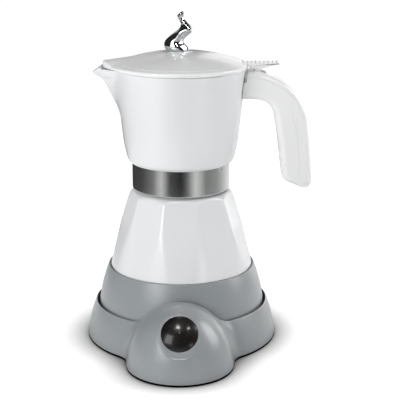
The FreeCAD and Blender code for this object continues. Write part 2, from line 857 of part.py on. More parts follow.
def socket_screws():
    seat = plate_bottom + screw_sunk
    return Part.makeCompound([screw(x, y, seat, 3.6) for x, y in spots(3, socket_screw_ring, 90)])


def pot_socket():
    body = drum(socket_radius, plate_top, socket_top)
    body = body.fuse(drum(socket_flange, plate_top, plate_top + socket_flange_thickness))
    cuts = [drum(socket_recess, plate_top - 1, boss_top + 0.5),
            drum(socket_bore, plate_top, spigot_top + socket_headroom),
            drum(pin_radius + contact_gap, spigot_top, socket_top + 1),
            tube(ring_radius - ring_wall / 2 - contact_gap, ring_radius + ring_wall / 2 + contact_gap,
                 plate_top, boss_top + ring_dip)]
    cuts += [screw_hole(x, y, plate_top - 1, plate_top + 2.8) for x, y in spots(3, socket_screw_ring, 90)]
    return body.cut(cuts).removeSplitter()


def pot_contacts():
    pin = drum(pin_radius, pin_bottom + 1, socket_top - 0.1)
    ring = tube(ring_radius - ring_wall / 2, ring_radius + ring_wall / 2, boss_top - ring_dip,
                boss_top + ring_dip - 0.1)
    return Part.makeCompound([pin, ring])


def heating_element():
    z = heater_bottom - element_radius - contact_gap
    circle = Part.Circle(Vector(element_ring, 0, z), Vector(0, 1, 0), element_radius).toShape()
    ring = Part.Face(Part.Wire(circle)).revolve(ORIGIN, UP, element_sweep)
    ring.rotate(ORIGIN, UP, (360 - element_sweep) / 2 - 90)
    ends = []
    for side in (-1, 1):
        x, y = polar(element_ring, side * ((360 - element_sweep) / 2 + 4) - 90)
        ends.append(drum(terminal_radius, z - element_radius - terminal_length, z, x, y))
    return ring.fuse(ends).removeSplitter()


def thermostat():
    body = drum(thermostat_radius, thermostat_bottom, heater_bottom)
    half = thermostat_ear_width / 2
    ears = block(-thermostat_ear, thermostat_ear, -half, half, heater_bottom - thermostat_ear_thickness,
                 heater_bottom)
    return body.fuse(ears).removeSplitter()


def thermal_fuse():
    z = heater_bottom - fuse_radius - contact_gap
    body = bar_x(fuse_radius, -fuse_half_length, fuse_half_length, fuse_out, z)
    leads = bar_x(lead_radius, -fuse_half_length - 4, fuse_half_length + 4, fuse_out, z)
    return body.fuse(leads).removeSplitter()


def housing_seal():
    low = shelf_height + shelf_thickness + seal_gap
    return tube(drum_radius - seal_width, drum_radius, low, low + seal_thickness)


def boiler_screws():
    places = spots(3, boiler_screw_ring, 30)
    return Part.makeCompound([screw(x, y, shelf_height, 5.2) for x, y in places])


# Boiler and its valve

def cone_radius(z):
    return cone_top_radius + cone_slope * (cone_top_height - z)


facet_foot_radius = cone_radius(facet_foot_height)
facet_slope = (facet_foot_radius - cone_top_radius + facet_cut) / (cone_top_height - facet_foot_height)
facet_tilt = math.degrees(math.atan(facet_slope))


def facet_radius(z):
    return facet_foot_radius + facet_slope * (facet_foot_height - z)


def pyramid(low, high):
    """The ten flat sides, one of them square to the front."""
    wires = []
    for z in (low, high):
        reach = facet_radius(z) / math.cos(math.pi / facet_count)
        corners = [Vector(*polar(reach, 90 + 180.0 / facet_count + 360.0 * k / facet_count), z)
                   for k in range(facet_count)]
        wires.append(Part.makePolygon(corners + corners[:1]))
    return Part.makeLoft(wires, True, True)


def thread(radius, reach, low, turns):
    """A helical ridge from a wall of the given radius; reach is negative for an inner thread."""
    root = radius - math.copysign(thread_root, reach)
    path = Part.makeHelix(thread_pitch, thread_pitch * turns, radius)
    path.translate(Vector(0, 0, low))
    half = 0.25 * thread_pitch
    corners = [Vector(root, 0, low - half), Vector(radius + reach, 0, low), Vector(root, 0, low + half)]
    return Part.Wire(path.Edges).makePipeShell([Part.makePolygon(corners + corners[:1])], True, True)


def boiler():
    lip = housing_top - boiler_lip
    edge = cone_radius(shoulder_start)
    body = spin((0, boiler_bottom), (drum_radius, boiler_bottom), (drum_radius, lip - 1),
                (cone_radius(lip), lip), (edge, shoulder_start),
                ((edge - 1.9, shoulder_start + 3.3), (neck_radius + 3.5, shoulder_height - 0.7)),
                (neck_radius, shoulder_height), (0, shoulder_height))
    body = body.common(pyramid(boiler_bottom - 5, shoulder_height + 5))
    body = body.fuse(drum(neck_radius, shoulder_height - 1, neck_top))
    body = body.fuse(thread(neck_radius, thread_depth, shoulder_height + 3.2, thread_turns + 0.25))
    floor = boiler_bottom + boiler_wall
    side = drum_radius - boiler_wall
    low_cone = housing_top + 0.8
    inside = spin((0, floor), (side, floor), (side, lip - 3), (cone_radius(low_cone) - boiler_wall, low_cone),
                  (facet_radius(shoulder_start) - boiler_wall, shoulder_start),
                  (mouth_radius, shoulder_height - 1),
                  (mouth_radius, neck_top + 1), (0, neck_top + 1))
    cuts = [inside, on_valve_axis(drum(valve_stem + contact_gap, -2 * valve_reach, valve_head))]
    cuts += [screw_hole(x, y, shelf_height, boiler_bottom + 2.2) for x, y in spots(3, boiler_screw_ring, 30)]
    return body.cut(cuts).removeSplitter()


def valve_body():
    corners = [Vector(*polar(valve_hex, 60.0 * k), 0) for k in range(6)]
    head = Part.Face(Part.makePolygon(corners + corners[:1])).extrude(Vector(0, 0, valve_head))
    body = head.fuse(drum(valve_stem, -valve_reach, 1))
    bore = drum(valve_bore, valve_floor, valve_head - valve_cap)
    outlet = drum(valve_pin_radius + valve_clearance, 0, valve_head + 1)
    return on_valve_axis(body.cut([bore, outlet, drum(valve_mouth, -valve_reach - 1, 0)]).removeSplitter())


def valve_pin():
    low = valve_floor + valve_seat_gap
    pin = drum(valve_plug, low, low + valve_plug_height).fuse(drum(valve_pin_radius, low, valve_pin_out))
    return on_valve_axis(pin.removeSplitter())


def valve_spring():
    low = valve_floor + valve_seat_gap + valve_plug_height + 0.02
    return on_valve_axis(coil(valve_coil, valve_wire, low, valve_head - valve_cap - 0.02, valve_turns))


# Funnel, gasket and upper filter

def funnel():
    rim = neck_radius - gasket_gap
    stem_inner = stem_radius - sheet
    neck = bowl_bottom - cone_depth
    return spin((rim, neck_top), (rim, rim_top), (bowl_inner, rim_top), (bowl_inner, bowl_bottom),
                (stem_inner, neck), (stem_inner, stem_bottom), (stem_radius, stem_bottom),
                (stem_radius, neck - 0.5), (bowl_outer, bowl_bottom - 0.5), (bowl_outer, neck_top))


def sieve(radius, low, high, hole, pitch):
    """A disc with rings of holes: six more in each ring outward."""
    holes = [drum(hole, low - 1, high + 1)]
    for ring in range(1, hole_rings + 1):
        holes += [drum(hole, low - 1, high + 1, x, y) for x, y in spots(6 * ring, ring * pitch, 0)]
    return drum(radius, low, high).cut(holes)


def funnel_plate():
    return sieve(bowl_inner - seat_gap, bowl_bottom, bowl_bottom + sheet, plate_hole, plate_pitch)


def gasket():
    return tube(gasket_inner, gasket_outer, gasket_bottom, filter_bottom)


def upper_filter():
    top = filter_bottom + filter_thickness
    return sieve(gasket_outer - 0.2, filter_bottom, top, filter_hole, filter_pitch)


# Jug

def jug_outer(grow=0.0):
    return spin((0, jug_bottom), (jug_foot_radius + grow, jug_bottom),
                ((jug_foot_radius + 1.5 + grow, jug_bottom + 1.4), (jug_curl_radius + grow, jug_curl_height)),
                ((jug_hip_radius + grow, jug_hip_height), (jug_waist_radius + grow, jug_waist_height)),
                (jug_rim_radius + grow, jug_top), (0, jug_top))


def jug_inner():
    wall = jug_wall
    corner = jug_curl_radius - wall - 3
    return spin((0, jug_floor), (corner, jug_floor),
                ((corner + 2.2, jug_floor + 1.2), (corner + 3.4, jug_floor + 4)),
                ((jug_hip_radius - wall, jug_hip_height + 0.4), (jug_waist_radius - wall, jug_waist_height)),
                (jug_rim_radius - wall, jug_top), (jug_rim_radius - wall, jug_top + 1), (0, jug_top + 1))


def jug_radius(z):
    share = (z - jug_waist_height) / (jug_top - jug_waist_height)
    return jug_waist_radius + share * (jug_rim_radius - jug_waist_radius)


def tangent_point(corner, centre, radius):
    """Where a line from a corner beside the nose touches it, farther from the jug."""
    dx = corner[0] - centre
    dy = corner[1]
    reach = math.hypot(dx, dy)
    angle = math.atan2(dy, dx) + math.acos(radius / reach)
    return centre + radius * math.cos(angle), radius * math.sin(angle)


def beak_section(z, root, half_angle, tip, nose):
    """A V in plan with a round nose, closed by a line inside the jug."""
    a = (-root * math.cos(math.radians(half_angle)), root * math.sin(math.radians(half_angle)))
    b = (a[0], -a[1])
    centre = -(tip - nose)
    p = tangent_point(a, centre, nose)
    q = (p[0], -p[1])
    at = [Vector(x, y, z) for x, y in (a, p, (-tip, 0), q, b)]
    edges = [Part.LineSegment(at[0], at[1]).toShape(), Part.Arc(at[1], at[2], at[3]).toShape(),
             Part.LineSegment(at[3], at[4]).toShape(), Part.LineSegment(at[4], at[0]).toShape()]
    return Part.Wire(edges)


def beak_loft(rows, inward, turn, thinner, nose):
    wires = []
    for rise, out, half_angle in rows:
        z = jug_top + rise
        root = jug_radius(z) - inward
        wires.append(beak_section(z, root, half_angle - turn, jug_rim_radius + out - thinner, nose))
    return Part.makeLoft(wires, True, True)


def beak_outer():
    return beak_loft(beak_rows, 1.0, 0, 0, beak_nose)


def beak_inner():
    return beak_loft(beak_rows[1:], jug_wall + 1.0, beak_inner_turn, jug_wall + 0.4, beak_nose_inside)


def beak_trim():
    """What lies above the rim and above the sloping lip of the beak."""
    shoulder = -jug_rim_radius - beak_shoulder
    tip = -jug_rim_radius - beak_tip[0]
    tip_height = jug_top + beak_tip[1]
    return slab(2 * jug_rim_radius, (shoulder, jug_top), (shoulder, jug_top + beak_lip), (tip, tip_height),
                (tip - 10, tip_height - 6), (tip - 10, lid_crown), (jug_rim_radius + 10, lid_crown),
                (jug_rim_radius + 10, jug_top))


def jug():
    lug = block(jug_waist_radius - 2, lug_end, -lug_half_width, lug_half_width, lug_low, lug_high)
    shell = jug_outer().fuse([beak_outer(), lug])
    cuts = [jug_inner(), beak_inner(), beak_trim(),
            drum(band_outer + lip_gap, jug_bottom - 1, jug_underside),
            drum(chamber_radius, jug_bottom - 1, jug_underside + chamber_depth),
            drum(column_spigot + column_gap, jug_underside, jug_floor + 1)]
    radius = screw_radius + screw_clearance
    cuts += [bar_x(radius, lug_end - 8, lug_end + 1, 0, z) for z in handle_screw_heights]
    return shell.cut(cuts).removeSplitter()


def threaded_collar():
    ring = tube(collar_bore, collar_outer, collar_bottom, jug_underside)
    ridge = thread(collar_bore, collar_crest - collar_bore, collar_bottom + 2, thread_turns)
    return ring.fuse(ridge).removeSplitter()


def steel_band():
    top = jug_underside - 0.2
    return spin((band_inner, band_bottom + 0.6), (band_inner, top), (band_outer, top),
                (band_outer, band_bottom + 1.2),
                ((band_outer - 0.2, band_bottom + 0.4), (band_outer - 0.7, band_bottom)),
                (band_inner + 0.1, band_bottom))


def coffee_column():
    top = jug_floor + column_height
    foot = jug_underside + chamber_depth
    return spin((column_bore, foot), (column_spigot, foot), (column_spigot, jug_floor),
                (column_flange, jug_floor), (column_flange, jug_floor + 1.4),
                ((column_radius + 1.0, jug_floor + 1.9), (column_radius, jug_floor + 3.5)),
                (column_top_radius, top), (column_bore, top))


def column_cap():
    top = jug_floor + column_height
    bore = column_top_radius + column_gap + 0.1
    outer = bore + cap_wall
    high = top + cap_chamber + cap_wall
    shape = spin((bore, top - cap_grip), (outer, top - cap_grip), (outer, high - 2.5),
                 ((outer - 1.0, high - 0.6), (outer - 3.5, high)), (0, high), (0, top + cap_chamber),
                 (bore, top + cap_chamber))
    return shape.cut(bar_y(cap_window, -outer - 1, outer + 1, 0, top + cap_chamber - cap_window))


# Lid, knob and thumb lever

def lid_plan(inset, low, high):
    """The lid seen from above, a disc with a rounded nose over the beak, drawn up between two heights."""
    disc = drum(lid_radius - inset, low, high)
    centre = -(nose_tip - nose_round)
    nose = nose_round - inset
    corner = polar(lid_radius - inset - 0.5, 180 - nose_angle)
    p = tangent_point(corner, centre, nose)
    points = [Vector(corner[0], corner[1], low), Vector(p[0], p[1], low), Vector(centre - nose, 0, low),
              Vector(p[0], -p[1], low), Vector(corner[0], -corner[1], low)]
    edges = [Part.LineSegment(points[0], points[1]).toShape(),
             Part.Arc(points[1], points[2], points[3]).toShape(),
             Part.LineSegment(points[3], points[4]).toShape(),
             Part.LineSegment(points[4], points[0]).toShape()]
    return disc.fuse(Part.Face(Part.Wire(edges)).extrude(Vector(0, 0, high - low)))


def lid_top(sink):
    """The dome of the lid and the round ridge of its nose, which leaves the dome on a tangent."""
    reach = lid_radius + 15
    crown = lid_crown - sink
    dome_edge = crown - (lid_dome - math.sqrt(lid_dome ** 2 - reach ** 2))
    dome = spin((0, lid_bottom - 10), (reach, lid_bottom - 10), (reach, dome_edge),
                (cap_middle(reach, dome_edge, crown - dome_edge), (0, crown)))
    rise = nose_top - lid_crown + lid_dome
    lean = math.atan2(nose_tip, rise) - math.acos(lid_dome / math.hypot(nose_tip, rise))
    out = Vector(-math.sin(lean), 0, math.cos(lean))
    along = Vector(-math.cos(lean), 0, -math.sin(lean))
    start = Vector(0, 0, lid_crown - lid_dome) + out * (lid_dome - nose_radius) + along * nose_start
    return dome.fuse(Part.makeCylinder(nose_radius - sink, nose_tip, start, along))


def lever_notch(gap):
    return slab(lever_half_width + gap, (lever_root - gap, lever_seat), (lid_radius + 12, lever_seat),
                (lid_radius + 12, lid_crown), (lever_root - gap, lid_crown))


def lid():
    shell = lid_plan(0, lid_bottom, lid_crown + 5).common(lid_top(0))
    hollow = lid_plan(lid_wall, lid_bottom - 1, lid_crown).common(lid_top(lid_wall))
    hollow = hollow.cut(lever_notch(lid_wall).fuse(
        slab(lever_half_width + lid_wall, (lever_root - lid_wall, lid_bottom), (lid_radius, lid_bottom),
             (lid_radius, lever_seat), (lever_root - lid_wall, lever_seat))))
    shell = shell.cut(hollow)
    flange_outer = jug_rim_radius - jug_wall - lid_flange_gap
    flange_top = lid_crown - lid_wall - flange_outer ** 2 / (2 * lid_dome) + 0.5
    flange = tube(flange_outer - lid_flange_wall, flange_outer, lid_bottom - lid_flange_depth, flange_top)
    under = lid_crown - lid_wall
    shell = shell.fuse([flange, drum(pad_radius, under, lid_crown + pad_rise),
                        drum(screw_boss, under - screw_boss_depth, under + 0.5)])
    hole = screw_hole(0, 0, lid_bottom - 10, lid_crown + 1)
    spout = block(-lid_radius, -flange_outer * 0.76, -flange_notch, flange_notch,
                  lid_bottom - lid_flange_depth - 1, lid_bottom)
    return shell.cut([lever_notch(lever_notch_gap), hole, spout]).removeSplitter()


def lid_knob():
    """A twisted flame that leans left, right and left again; its rows give the sections."""
    foot = lid_crown + pad_rise
    wires = []
    for rise, x, half_x, half_y in knob_rows:
        centre = Vector(x, 0, foot + rise)
        ellipse = Part.Ellipse(centre + Vector(half_x, 0, 0), centre + Vector(0, half_y, 0), centre)
        wires.append(Part.Wire(ellipse.toShape()))
    body = Part.makeLoft(wires, True, False)
    return body.cut(screw_hole(0, 0, foot - 1, foot + knob_screw_reach + 1))


def knob_screw():
    seat = lid_crown - lid_wall - screw_boss_depth
    return screw(0, 0, seat, lid_crown + knob_screw_reach - seat)


def thumb_lever():
    """A ribbed tab whose slanted underside comes down on the handle when the lid is open."""
    body = slab(lever_half_width, (lever_root, lever_seat), (lid_radius + 0.4, lever_seat),
                (lid_radius + 2.0, lever_under), (hinge_out + 3, lever_under),
                ((hinge_out + 9.5, lever_under + 2.05), (lever_tip - 0.4, lever_under + 3.6)),
                ((lever_tip, lever_top - 0.2), (lever_tip - 0.3, lever_top)), (lever_root, lever_top))
    half = barrel_half_width
    neck = block(hinge_out - barrel_neck, hinge_out + barrel_neck, -half, half, hinge_up, lever_under + 1)
    barrel = bar_y(barrel_radius, -half, half, hinge_out, hinge_up)
    first_rib = lever_tip - 1.6 - (lever_ribs - 1) * lever_rib_pitch
    ribs = [bar_y(lever_rib_radius, -lever_half_width, lever_half_width, first_rib + k * lever_rib_pitch,
                  lever_top) for k in range(lever_ribs)]
    bore = bar_y(hinge_pin_radius + pin_clearance, -half - 1, half + 1, hinge_out, hinge_up)
    return body.fuse([neck, barrel] + ribs).cut(bore).removeSplitter()


# Handle

def from_rim(points):
    return [(jug_rim_radius + x, jug_top + z) for x, z in points]


def handle_face():
    back = from_rim(handle_back)
    front = from_rim(handle_front)
    return outline(back[0], back[1:], front[0], front[1:])


def cover_face():
    """The side view of the strip that covers the back of the handle."""
    foot = from_rim(cover_foot)
    far = from_rim(cover_far)
    return outline(foot[0], foot[1:], from_rim(cover_side), *far)


def hinge_recess():
    """Room in the top of the handle for the lever's barrel and neck, which turn on the pin."""
    lane = barrel_half_width + barrel_gap
    space = block(hinge_out - barrel_neck - barrel_gap, hinge_out + recess_reach, -lane, lane,
                  hinge_up - recess_drop, jug_top + 5)
    return space.fuse(bar_y(barrel_radius + barrel_gap, -lane, lane, hinge_out, hinge_up))


def handle_block():
    """The whole grip with its rounded edges, before it is split and hollowed."""
    body = draw_out(handle_face(), handle_half_width)
    across = [e for e in body.Edges if abs(e.CenterOfMass.y) < 1 and e.CenterOfMass.z < jug_bottom]
    body = body.makeFillet(handle_corner, across)
    along = [e for e in body.Edges if abs(e.CenterOfMass.y) > handle_half_width - 0.1
             and e.CenterOfMass.x > jug_waist_radius]
    body = body.makeFillet(handle_round, along)
    return body.cut([jug_outer(handle_gap), drum(jug_rim_radius + slit_width, slit_bottom, jug_top + 5)])


def set_in(row, depth):
    """A row of points moved to the right of its own direction by a depth."""
    moved = []
    for k, (x, z) in enumerate(row):
        before = row[max(k - 1, 0)]
        after = row[min(k + 1, len(row) - 1)]
        run = after[0] - before[0]
        rise = after[1] - before[1]
        share = depth / math.hypot(run, rise)
        moved.append((x + share * rise, z - share * run))
    return moved


def handle_hollow():
    back = set_in(from_rim(handle_back), handle_wall)
    front = set_in(from_rim(handle_front), handle_wall)
    half = handle_half_width - handle_wall
    hollow = slab(half, back[0], back[1:], front[0], front[1:])
    low, high = set_in(from_rim((handle_back[-1], handle_front[0])), handle_wall)
    along = (high[0] - low[0], high[1] - low[1])
    end = slab(half + 1, (low[0] - along[0], low[1] - along[1]), (high[0] + along[0], high[1] + along[1]),
               (high[0] + along[0], low[1] - 2 * along[1]), (low[0] - along[0], low[1] - 2 * along[1]))
    hollow = hollow.cut(end)
    across = [e for e in hollow.Edges if abs(e.CenterOfMass.y) < 1 and e.CenterOfMass.z < jug_bottom]
    hollow = hollow.makeFillet(handle_corner - handle_wall, across)
    front_wall = block(0, lug_end + lug_gap + web, -20, 20, jug_bottom - 60, jug_top + 20)
    return hollow.cut(front_wall)


def handle_body(grip, hollow):
    shape = grip.cut([hollow, draw_out(cover_face(), 20)])
    half = lug_half_width + lug_gap
    cuts = [block(jug_waist_radius, lug_end + lug_gap, -half, half, lug_low - lug_gap, lug_high + lug_gap),
            hinge_recess(),
            bar_y(hinge_pin_radius + pin_clearance, -pin_reach - pin_end_gap, 20, hinge_out, hinge_up)]
    cuts += [bar_x(screw_radius + screw_clearance, lug_end - 1, lug_end + web + 2, 0, z)
             for z in handle_screw_heights]
    return shape.cut(cuts).removeSplitter()


def handle_cover(grip, hollow):
    strip = draw_out(cover_face().makeOffset2D(-seam_gap), 20)
    return grip.cut(hollow).common(strip).removeSplitter()


def handle_screws():
    made = []
    for z in handle_screw_heights:
        one = screw(0, 0, 0, web + 6)
        one.rotate(ORIGIN, Vector(0, 1, 0), -90)
        one.translate(Vector(lug_end + lug_gap + web, 0, z))
        made.append(one)
    return Part.makeCompound(made)


def hinge_pin():
    """It goes in from the side at +Y and ends inside the handle on the other side."""
    return bar_y(hinge_pin_radius, -pin_reach, pin_reach, hinge_out, hinge_up)


os.makedirs("parts", exist_ok=True)

foot_ring, front_foot = feet()
save("base_shell", base_shell())
save("base_cover", base_cover())
save("foot_ring", foot_ring)
save("front_foot", front_foot)
save("base_screws", base_screws())
save("base_connector", base_connector())
save("connector_screws", connector_screws())
save("base_contacts", base_contacts())
save("cord_inlet", cord_inlet())
save("cord_clamp", cord_clamp())
save("clamp_screws", clamp_screws())
save("button_plate", button_plate())
save("switch_board", switch_board())
save("push_switch", push_switch())
save("indicator_lamp", indicator_lamp())
save("button_screws", button_screws())
save("button_spring", button_spring())
save("button_lens", button_lens())
save("button_carrier", button_carrier())
save("swivel_bush", tube(bush_inner, bush_outer, boss_top + bush_lift, spigot_top - bush_lift))
save("lower_housing", lower_housing())
save("housing_bottom", housing_bottom())
save("housing_screws", housing_screws())
save("pot_socket", pot_socket())
save("socket_screws", socket_screws())
save("pot_contacts", pot_contacts())
save("heating_element", heating_element())
save("heater_plate", drum(heater_radius, heater_bottom, boiler_bottom))
save("thermostat", thermostat())
save("thermal_fuse", thermal_fuse())
save("housing_seal", housing_seal())
save("boiler_screws", boiler_screws())
save("boiler", boiler())
save("valve_body", valve_body())
save("valve_pin", valve_pin())
save("valve_spring", valve_spring())
save("funnel", funnel())
save("funnel_plate", funnel_plate())
save("gasket", gasket())
save("upper_filter", upper_filter())
save("jug", jug())
save("threaded_collar", threaded_collar())
save("steel_band", steel_band())
save("coffee_column", coffee_column())
save("column_cap", column_cap())
save("lid", lid())
save("lid_knob", lid_knob())
save("knob_screw", knob_screw())
save("thumb_lever", thumb_lever())
grip = handle_block()
hollow = handle_hollow()
save("handle_body", handle_body(grip, hollow))
save("handle_cover", handle_cover(grip, hollow))
save("handle_screws", handle_screws())
save("hinge_pin", hinge_pin())
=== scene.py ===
import math

import bpy
import bmesh
import numpy as np
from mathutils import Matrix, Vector


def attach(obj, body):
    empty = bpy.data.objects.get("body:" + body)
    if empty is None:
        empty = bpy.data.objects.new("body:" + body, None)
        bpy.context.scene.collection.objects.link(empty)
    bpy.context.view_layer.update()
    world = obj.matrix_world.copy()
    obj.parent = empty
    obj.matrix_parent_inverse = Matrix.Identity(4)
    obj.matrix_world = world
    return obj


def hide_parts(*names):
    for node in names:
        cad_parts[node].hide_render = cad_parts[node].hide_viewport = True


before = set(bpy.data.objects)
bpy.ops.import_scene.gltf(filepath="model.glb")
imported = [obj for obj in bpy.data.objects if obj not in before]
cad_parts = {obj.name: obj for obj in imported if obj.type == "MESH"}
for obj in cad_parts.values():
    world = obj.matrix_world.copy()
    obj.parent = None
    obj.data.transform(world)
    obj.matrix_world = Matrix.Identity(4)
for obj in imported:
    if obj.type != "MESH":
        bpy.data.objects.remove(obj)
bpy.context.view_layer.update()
scene = bpy.context.scene


def srgb(hexText):
    values = [int(hexText[i:i + 2], 16) / 255 for i in (1, 3, 5)]
    return [v / 12.92 if v <= 0.04045 else ((v + 0.055) / 1.055) ** 2.4 for v in values] + [1.0]


def addNode(tree, kind, settings=None, links=None):
    # settings are input values or properties, links are sockets that feed an input
    node = tree.nodes.new(kind)
    for key, value in (settings or {}).items():
        if isinstance(key, str) and hasattr(node, key):
            setattr(node, key, value)
        else:
            node.inputs[key].default_value = value
    for key, socket in (links or {}).items():
        tree.links.new(socket, node.inputs[key])
    return node


# Camera, from the photograph: 1200 pixels of focal length on a 400 pixel frame

cameraSetup = {"lens": 108.0, "sensor": 36.0, "place": (0.0149, -0.912, 0.362), "pitch": 15.5}

cameraData = bpy.data.cameras.new("photoCamera")
cameraData.lens = cameraSetup["lens"]
cameraData.sensor_width = cameraSetup["sensor"]
cameraObject = bpy.data.objects.new("photoCamera", cameraData)
cameraObject.location = cameraSetup["place"]
cameraObject.rotation_euler = (math.radians(90 - cameraSetup["pitch"]), 0, 0)
scene.collection.objects.link(cameraObject)
scene.camera = cameraObject
scene.view_settings.view_transform = "Standard"
print("camera placed")


# Finishes

def startMaterial(name):
    material = bpy.data.materials.new(name)
    material.use_nodes = True
    tree = material.node_tree
    tree.nodes.clear()
    return material, tree


def finishMaterial(tree, shader):
    addNode(tree, "ShaderNodeOutputMaterial", links={"Surface": shader.outputs[0]})


# drift is how many mm a moulded tint takes to change, ior the refraction of plastic and enamel
mouldedSetup = {"drift": 45.0, "ior": 1.53}


def mouldedPlastic(name, look):
    # grain is the width in mm of the mould's texture, depth how deep it looks in mm
    material, tree = startMaterial(name)
    place = addNode(tree, "ShaderNodeTexCoord")
    cloud = addNode(tree, "ShaderNodeTexNoise", {"Scale": 1000 / mouldedSetup["drift"], "Detail": 3.0},
                    {"Vector": place.outputs["Object"]})
    tint = addNode(tree, "ShaderNodeMix", {"data_type": "RGBA", "A": srgb(look["colour"]), "B": srgb(look["deeper"])},
                   {"Factor": cloud.outputs["Fac"]})
    spark = addNode(tree, "ShaderNodeTexNoise", {"Scale": 1000 / look["grain"], "Detail": 2.0},
                    {"Vector": place.outputs["Object"]})
    relief = addNode(tree, "ShaderNodeBump", {"Strength": 0.5, "Distance": look["depth"] / 1000},
                     {"Height": spark.outputs["Fac"]})
    shine = addNode(tree, "ShaderNodeMapRange", {"To Min": look["rough"] * 0.9, "To Max": look["rough"] * 1.1},
                    {"Value": cloud.outputs["Fac"]})
    shader = addNode(tree, "ShaderNodeBsdfPrincipled",
                     {"IOR": mouldedSetup["ior"], "Coat Weight": look.get("coat", 0.0),
                      "Coat Roughness": look.get("coatRough", 0.1)},
                     {"Base Color": tint.outputs["Result"], "Roughness": shine.outputs["Result"],
                      "Normal": relief.outputs["Normal"]})
    finishMaterial(tree, shader)
    return material


def workedMetal(name, look):
    # marks are the width in mm of the scuffs that change the gloss, depth how deep they look in mm
    material, tree = startMaterial(name)
    place = addNode(tree, "ShaderNodeTexCoord")
    scuffs = addNode(tree, "ShaderNodeTexNoise", {"Scale": 1000 / look["marks"], "Detail": 4.0},
                     {"Vector": place.outputs["Object"]})
    tint = addNode(tree, "ShaderNodeMix", {"data_type": "RGBA", "A": srgb(look["colour"]), "B": srgb(look["deeper"])},
                   {"Factor": scuffs.outputs["Fac"]})
    relief = addNode(tree, "ShaderNodeBump", {"Strength": 0.4, "Distance": look["depth"] / 1000},
                     {"Height": scuffs.outputs["Fac"]})
    shine = addNode(tree, "ShaderNodeMapRange", {"To Min": look["rough"] * 0.8, "To Max": look["rough"] * 1.2},
                    {"Value": scuffs.outputs["Fac"]})
    shader = addNode(tree, "ShaderNodeBsdfPrincipled", {"Metallic": 1.0},
                     {"Base Color": tint.outputs["Result"], "Roughness": shine.outputs["Result"],
                      "Normal": relief.outputs["Normal"]})
    finishMaterial(tree, shader)
    return material


def brushedMetal(name, look):
    # brushing runs round the upright axis at the given radius; real lines are finer than a pixel, so
    # these are line mm apart and run mm long, which still reads as brushed at this distance
    material, tree = startMaterial(name)
    place = addNode(tree, "ShaderNodeTexCoord")
    parts = addNode(tree, "ShaderNodeSeparateXYZ", links={0: place.outputs["Object"]})
    turn = addNode(tree, "ShaderNodeMath", {"operation": "ARCTAN2"}, {0: parts.outputs["Y"], 1: parts.outputs["X"]})
    along = addNode(tree, "ShaderNodeMath", {"operation": "MULTIPLY", 1: look["radius"] / look["run"]},
                    {0: turn.outputs[0]})
    across = addNode(tree, "ShaderNodeMath", {"operation": "MULTIPLY", 1: 1000 / look["line"]},
                     {0: parts.outputs["Z"]})
    grid = addNode(tree, "ShaderNodeCombineXYZ", links={"X": along.outputs[0], "Y": across.outputs[0]})
    lines = addNode(tree, "ShaderNodeTexNoise", {"Scale": 1.0, "Detail": 3.0}, {"Vector": grid.outputs[0]})
    tint = addNode(tree, "ShaderNodeMix", {"data_type": "RGBA", "A": srgb(look["colour"]), "B": srgb(look["deeper"])},
                   {"Factor": lines.outputs["Fac"]})
    relief = addNode(tree, "ShaderNodeBump", {"Strength": 0.5, "Distance": look["depth"] / 1000},
                     {"Height": lines.outputs["Fac"]})
    shine = addNode(tree, "ShaderNodeMapRange", {"To Min": look["rough"] * 0.7, "To Max": look["rough"] * 1.3},
                    {"Value": lines.outputs["Fac"]})
    sweep = addNode(tree, "ShaderNodeTangent", {"direction_type": "RADIAL", "axis": "Z"})
    shader = addNode(tree, "ShaderNodeBsdfPrincipled", {"Metallic": 1.0, "Anisotropic": 0.5},
                     {"Base Color": tint.outputs["Result"], "Roughness": shine.outputs["Result"],
                      "Normal": relief.outputs["Normal"], "Tangent": sweep.outputs["Tangent"]})
    finishMaterial(tree, shader)
    return material


def smokedPlastic(name, look):
    # flecks speck mm wide under a clear gloss; fade is the noise where they begin to show and where they are full
    material, tree = startMaterial(name)
    place = addNode(tree, "ShaderNodeTexCoord")
    dust = addNode(tree, "ShaderNodeTexNoise", {"Scale": 1000 / look["speck"], "Detail": 4.0, "Roughness": 0.7},
                   {"Vector": place.outputs["Object"]})
    patch = addNode(tree, "ShaderNodeMapRange", {"From Min": look["fade"][0], "From Max": look["fade"][1]},
                    {"Value": dust.outputs["Fac"]})
    tint = addNode(tree, "ShaderNodeMix", {"data_type": "RGBA", "A": srgb(look["colour"]), "B": srgb(look["fleck"])},
                   {"Factor": patch.outputs["Result"]})
    relief = addNode(tree, "ShaderNodeBump", {"Strength": 0.3, "Distance": look["depth"] / 1000},
                     {"Height": dust.outputs["Fac"]})
    shader = addNode(tree, "ShaderNodeBsdfPrincipled",
                     {"Roughness": look["rough"], "IOR": look["ior"], "Coat Weight": look["coat"],
                      "Coat Roughness": look["coatRough"]},
                     {"Base Color": tint.outputs["Result"], "Normal": relief.outputs["Normal"]})
    finishMaterial(tree, shader)
    return material


